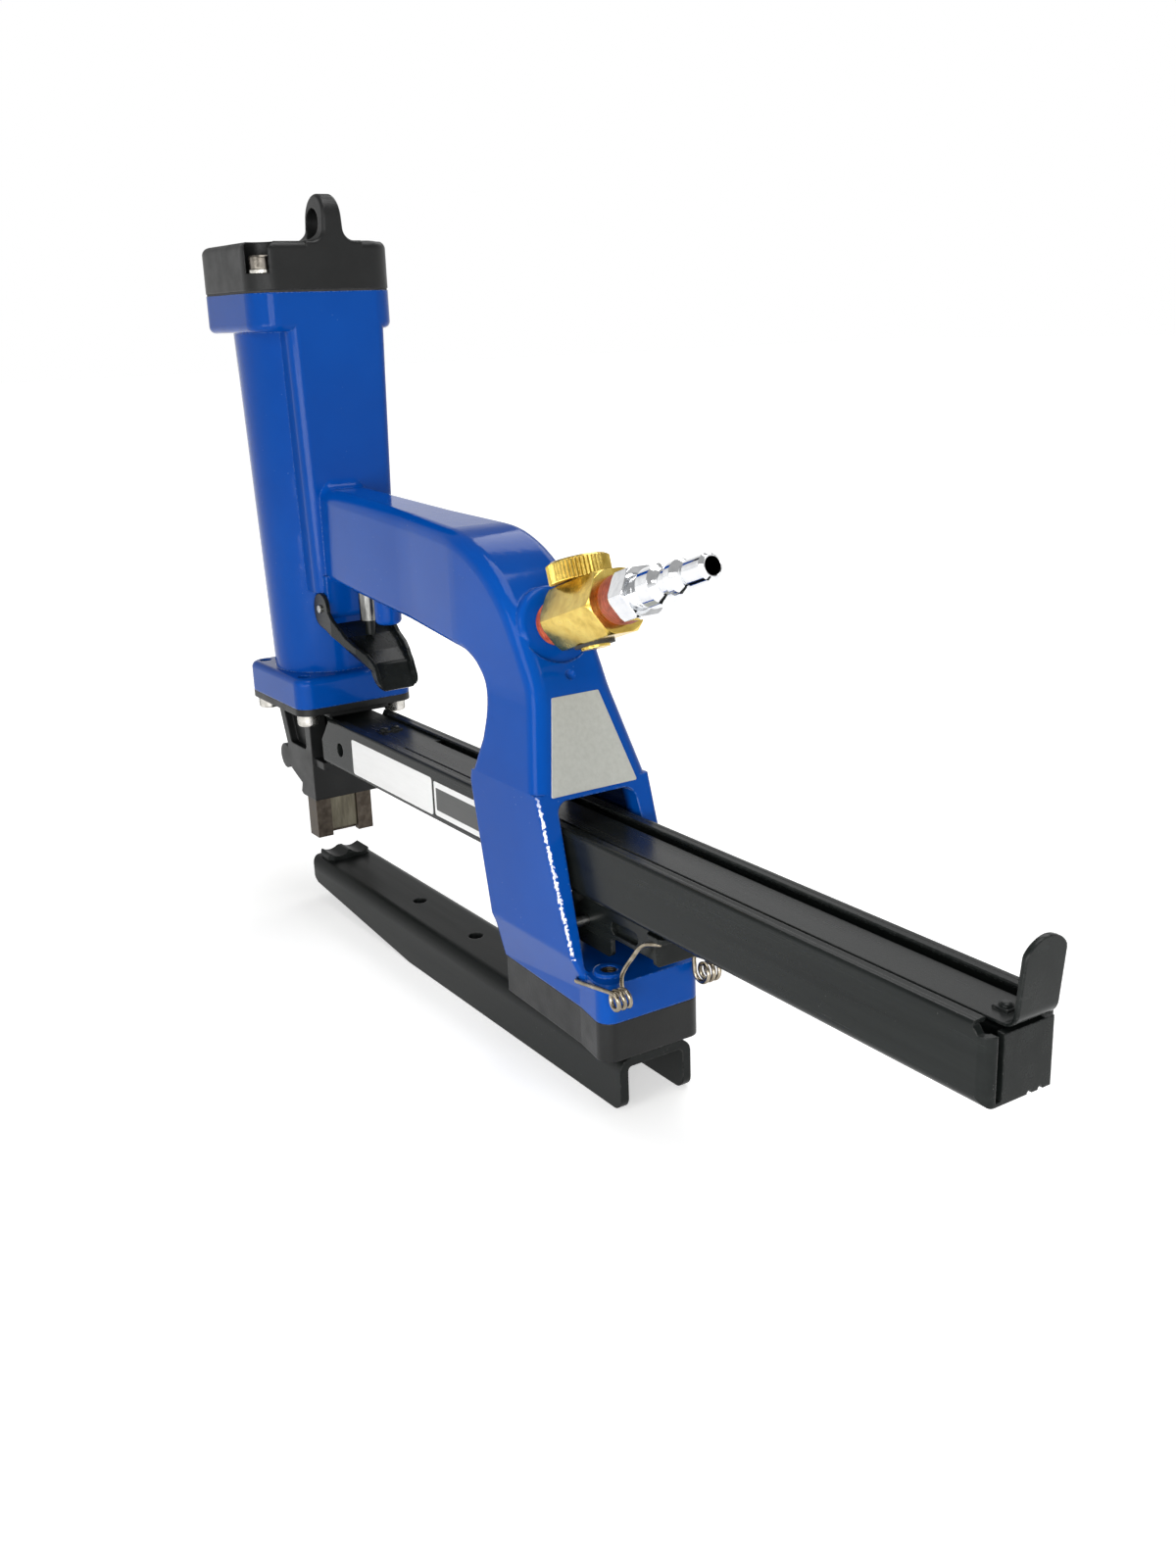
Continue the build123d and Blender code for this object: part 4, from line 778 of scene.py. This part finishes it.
bend = rounded(
    [
        Vector((STRIP_WIDE_END, 0, STRIP_LOW)),
        Vector((tab_face(STRIP_LOW), 0, STRIP_LOW)),
        Vector((tab_face(TAB_ENDS[0][0]), 0, TAB_ENDS[0][0])),
    ],
    TAB_BEND,
)[1:-1]
ALONG, RISING = Vector((1, 0, 0)), Vector((TAB_LEAN, 0, 1)).normalized()
loops = [
    strip_loop(Vector((STRIP_FRONT, 0, STRIP_LOW)), ALONG, STRIP_WIDE, STRIP_THICK),
    strip_loop(Vector((STRIP_WIDE_END, 0, STRIP_LOW)), ALONG, STRIP_WIDE, STRIP_THICK),
    strip_loop(Vector((STRIP_WIDE_END + STRIP_STEP, 0, STRIP_LOW)), ALONG, STRIP_HALF, STRIP_THICK),
]
for i, p in enumerate(bend):
    share = i / (len(bend) - 1)
    thick = STRIP_THICK + (TAB_THICK - STRIP_THICK) * share
    loops.append(strip_loop(p, ALONG.slerp(RISING, share), STRIP_HALF, thick))
for z, half in TAB_ENDS:
    loops.append(strip_loop(Vector((tab_face(z), 0, z)), RISING, half, TAB_THICK))
bm = bmesh.new()
rings(bm, loops)
PAD_RISE, PAD_HALF, RIVET_X, RIVET_Y, TAIL_RIVET_X = 0.6, 2.3, 54.0, 2.4, 364.3
RIVETS = ((RIVET_X, -RIVET_Y), (RIVET_X, RIVET_Y), (TAIL_RIVET_X, 0.0))
RIVET_DOME = (
    (1.8, -0.1),
    (1.8, 0.15),
    (1.72, 0.4),
    (1.5, 0.65),
    (1.1, 0.86),
    (0.6, 0.97),
    (0.2, 1.0),
)
strip_top = STRIP_LOW + STRIP_THICK
pad_top = strip_top + PAD_RISE
for x, y in RIVETS[1:]:
    half = y + PAD_HALF
    pad = []
    for z, ease in ((strip_top - 0.1, 0.0), (pad_top - 0.2, 0.0), (pad_top, 0.25)):
        a, b = PAD_HALF - ease, half - ease
        pad.append([at(x + sx * a, sy * b, z) for sx, sy in ((-1, -1), (1, -1), (1, 1), (-1, 1))])
    rings(bm, pad)
cover = piece("cover_strip_sheet", bm, "black_steel", "cover", 30)
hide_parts("cover_strip")
bm = bmesh.new()
for x, y in RIVETS:
    turned(bm, x, y, [(r, pad_top + h) for r, h in RIVET_DOME], 32)
heads = piece("cover_rivet_heads", bm, "black_steel", "cover", 50)
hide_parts("strip_rivets")


# Inward flanges along the top of the magazine's walls

FLANGE_IN, FLANGE_OUT, FLANGE_LOW, FLANGE_TOP = 9.0, 12.0, 83.75, 84.78
FLANGE_FROM, FLANGE_TO, FLANGE_EASE = 34.0, 366.4, 0.3
bm = bmesh.new()
for sy in (-1, 1):
    outline(
        bm,
        [
            (sy * FLANGE_OUT, FLANGE_LOW),
            (sy * FLANGE_OUT, FLANGE_TOP),
            (sy * (FLANGE_IN + FLANGE_EASE), FLANGE_TOP),
            (sy * FLANGE_IN, FLANGE_TOP - FLANGE_EASE),
            (sy * FLANGE_IN, FLANGE_LOW),
        ],
        FLANGE_FROM,
        FLANGE_TO,
    )
piece("magazine_flanges", bm, "black_steel", "magazine")


# Threaded inserts in the two bosses of the ledge

INSERT_X, INSERT_Y, INSERT_TOP, INSERT_LOW = 219.6, 10.8, 44.1, 36.0
INSERT_R, THREAD_R, THREAD_DEEP, THREAD_PITCH, THREAD_TURNS = 2.58, 2.0, 0.2, 0.7, 5
THREAD_CUT = 0.3
INSERT_FLOOR = [(THREAD_R, 40.2), (1.5, 40.6), (0.3, 40.75)]
bm = bmesh.new()
profile = [(INSERT_R, INSERT_LOW), (INSERT_R, INSERT_TOP), (THREAD_R + THREAD_CUT, INSERT_TOP)]
for k in range(THREAD_TURNS):
    z = INSERT_TOP - THREAD_CUT - k * THREAD_PITCH
    profile += [(THREAD_R, z), (THREAD_R + THREAD_DEEP, z - THREAD_PITCH / 2)]
for sy in (-1, 1):
    turned(bm, INSERT_X, sy * INSERT_Y, profile + INSERT_FLOOR, 40)
piece("boss_inserts", bm, "dark_steel", "frame", 30)


# Bare plate and labels


def plate(name, corners, radius, origin, u, v, thick, finish, body):
    """Thin plate with rounded corners, from corners in millimetres along u and v."""
    pts = []
    n = len(corners)
    for i in range(n):
        p = Vector(corners[i])
        a = (Vector(corners[i - 1]) - p).normalized()
        b = (Vector(corners[(i + 1) % n]) - p).normalized()
        half = a.angle(b) / 2
        middle = p + (a + b).normalized() * (radius / math.sin(half))
        start = p + a * (radius / math.tan(half)) - middle
        end = p + b * (radius / math.tan(half)) - middle
        a0 = math.atan2(start.y, start.x)
        step = (math.atan2(end.y, end.x) - a0 + math.pi) % (2 * math.pi) - math.pi
        for k in range(ARC_STEPS + 1):
            a = a0 + step * k / ARC_STEPS
            pts.append(middle + Vector((math.cos(a), math.sin(a))) * radius)
    centre = sum(pts, Vector((0, 0))) / len(pts)
    inner = [centre + (p - centre) * 0.994 for p in pts]
    normal = u.cross(v).normalized()

    def loop(points, height):
        return [origin + (u * p.x + v * p.y + normal * height) * MM for p in points]

    bm = bmesh.new()
    rings(bm, [loop(pts, -0.02), loop(pts, thick * 0.7), loop(inner, thick)])
    return piece(name, bm, finish, body)


def box_corners(x0, x1, z0, z1):
    return [(x0, z0), (x1, z0), (x1, z1), (x0, z1)]


fall = Vector((LEG_SLOPE, 0, -1)).normalized()
PLATE_FROM, PLATE_TO, PLATE_TOP_HALF, PLATE_LOW_HALF = 5.0, 35.1, 8.6, 15.9
plate(
    "leg_plate",
    [
        (-PLATE_TOP_HALF, -PLATE_FROM),
        (-PLATE_LOW_HALF, -PLATE_TO),
        (PLATE_LOW_HALF, -PLATE_TO),
        (PLATE_TOP_HALF, -PLATE_FROM),
    ],
    0.5,
    at(*LEG_TOP),
    Vector((0, 1, 0)),
    -fall,
    0.25,
    "label_alloy",
    "frame",
)

for name, corners, radius, thick, finish in (
    ("side_label_white", box_corners(47.4, 113.6, 67.0, 80.9), 1.2, 0.10, "label_white"),
    ("side_label_frame", box_corners(115.2, 172.0, 67.6, 80.2), 0.8, 0.08, "label_white"),
    ("side_label_grey", box_corners(116.6, 170.6, 69.7, 78.0), 0.3, 0.12, "label_grey"),
):
    plate(
        name,
        corners,
        radius,
        at(0, MAG_SIDE, 0),
        Vector((1, 0, 0)),
        Vector((0, 0, 1)),
        thick,
        finish,
        "magazine",
    )


# Floor: white, and it takes the shadow near the object. It fades to plain white further out.

FLOOR_SIZE, FADE_FROM, FADE_TO = 8.0, 0.35, 0.9
FLOOR_GLOW, FLOOR_DROP = 0.5, 0.0002
bm = bmesh.new()
bmesh.ops.create_grid(bm, x_segments=1, y_segments=1, size=FLOOR_SIZE)
mesh = bpy.data.meshes.new("floor")
bm.to_mesh(mesh)
bm.free()
floor = bpy.data.objects.new("floor", mesh)
floor.location = (0, 0, -FLOOR_DROP)
scene.collection.objects.link(floor)
s = Shader("floor", (0.86, 0.86, 0.85), 0.9)
s.set("Specular IOR Level", 0.1)
rays = s.add("ShaderNodeLightPath")
seen = s.math("MAXIMUM", rays.outputs["Is Camera Ray"], rays.outputs["Is Glossy Ray"])
seen = s.math("MAXIMUM", seen, rays.outputs["Is Transmission Ray"])
far = s.near(Vector((0, 0, 0)), FADE_FROM, FADE_TO)
s.set("Emission Color", (1, 1, 1, 1))
glow = s.ramp(far, 0.0, 1.0, FLOOR_GLOW, 1.0)
s.link(s.times(seen, glow), s.bsdf.inputs["Emission Strength"])
mesh.materials.append(s.mat)


# World: white round the horizon and dimmer overhead, with less of it for diffuse light

HORIZON_TOP, DIM_FROM, DIM = 0.18, 0.42, 0.42
AMBIENT = 0.36
world = bpy.data.worlds.new("studio")
scene.world = world
world.use_nodes = True
tree = world.node_tree
tree.nodes.clear()
out = tree.nodes.new("ShaderNodeOutputWorld")
light = tree.nodes.new("ShaderNodeBackground")
light.inputs["Color"].default_value = (1.0, 1.0, 1.0, 1.0)
way = tree.nodes.new("ShaderNodeTexCoord")
split = tree.nodes.new("ShaderNodeSeparateXYZ")
fade = tree.nodes.new("ShaderNodeMapRange")
fade.inputs["From Min"].default_value = HORIZON_TOP
fade.inputs["From Max"].default_value = DIM_FROM
fade.inputs["To Min"].default_value = 1.0
fade.inputs["To Max"].default_value = DIM
tree.links.new(way.outputs["Generated"], split.inputs["Vector"])
tree.links.new(split.outputs["Z"], fade.inputs["Value"])
rays = tree.nodes.new("ShaderNodeLightPath")
seen = rays.outputs["Is Camera Ray"]
for kind in ("Is Glossy Ray", "Is Transmission Ray"):
    either = tree.nodes.new("ShaderNodeMath")
    either.operation = "MAXIMUM"
    tree.links.new(seen, either.inputs[0])
    tree.links.new(rays.outputs[kind], either.inputs[1])
    seen = either.outputs["Value"]
ambient = tree.nodes.new("ShaderNodeMapRange")
ambient.inputs["To Min"].default_value = AMBIENT
ambient.inputs["To Max"].default_value = 1.0
tree.links.new(seen, ambient.inputs["Value"])
strength = tree.nodes.new("ShaderNodeMath")
strength.operation = "MULTIPLY"
tree.links.new(fade.outputs["Result"], strength.inputs[0])
tree.links.new(ambient.outputs["Result"], strength.inputs[1])
tree.links.new(strength.outputs["Value"], light.inputs["Strength"])
tree.links.new(light.outputs["Background"], out.inputs["Surface"])


def softbox(name, place, aim, size, power):
    """Rectangular light at a place, turned to a point, with its size and its watts."""
    data = bpy.data.lights.new(name, "AREA")
    data.shape = "RECTANGLE"
    data.size, data.size_y = size
    data.energy = power
    obj = bpy.data.objects.new(name, data)
    obj.location = place
    obj.rotation_euler = (Vector(aim) - Vector(place)).to_track_quat("-Z", "Y").to_euler()
    scene.collection.objects.link(obj)


softbox("key", (0.25, -1.2, 0.7), (0, 0, 0.12), (0.6, 0.45), 3.4)
softbox("fill", (0.62, -0.3, 0.2), (0.06, 0, 0.05), (0.35, 0.3), 1.7)
softbox("low", (0.32, -0.5, 0.11), (0.03, 0, 0.06), (0.45, 0.18), 1.7)
softbox("top", (0.1, 0.15, 1.25), (0, 0, 0.1), (0.8, 0.6), 7.5)
softbox("back", (-0.6, 0.8, 1.0), (0, 0, 0.12), (0.7, 0.5), 3.0)


# Camera

FOCAL_PX, LONG_PX, SENSOR = 1544.4, 1600.0, 36.0
AZIMUTH, ELEVATION, ROLL = math.radians(57.11), math.radians(17.16), math.radians(-2.0)
TARGET, DISTANCE = at(194.805, 0, 95.4), 0.472005
cam_data = bpy.data.cameras.new("camera")
cam = bpy.data.objects.new("camera", cam_data)
scene.collection.objects.link(cam)
scene.camera = cam
cam_data.sensor_width = SENSOR
cam_data.lens = FOCAL_PX / LONG_PX * SENSOR
cam_data.clip_start = 0.01
flat = math.cos(ELEVATION)
back = Vector((math.sin(AZIMUTH) * flat, -math.cos(AZIMUTH) * flat, math.sin(ELEVATION)))
right = Vector((0, 0, 1)).cross(back).normalized()
up = back.cross(right)
right, up = (
    right * math.cos(ROLL) + up * math.sin(ROLL),
    up * math.cos(ROLL) - right * math.sin(ROLL),
)
pose = Matrix((right, up, back)).transposed().to_4x4()
pose.translation = TARGET + back * DISTANCE
cam.matrix_world = pose

scene.view_settings.view_transform = "Standard"
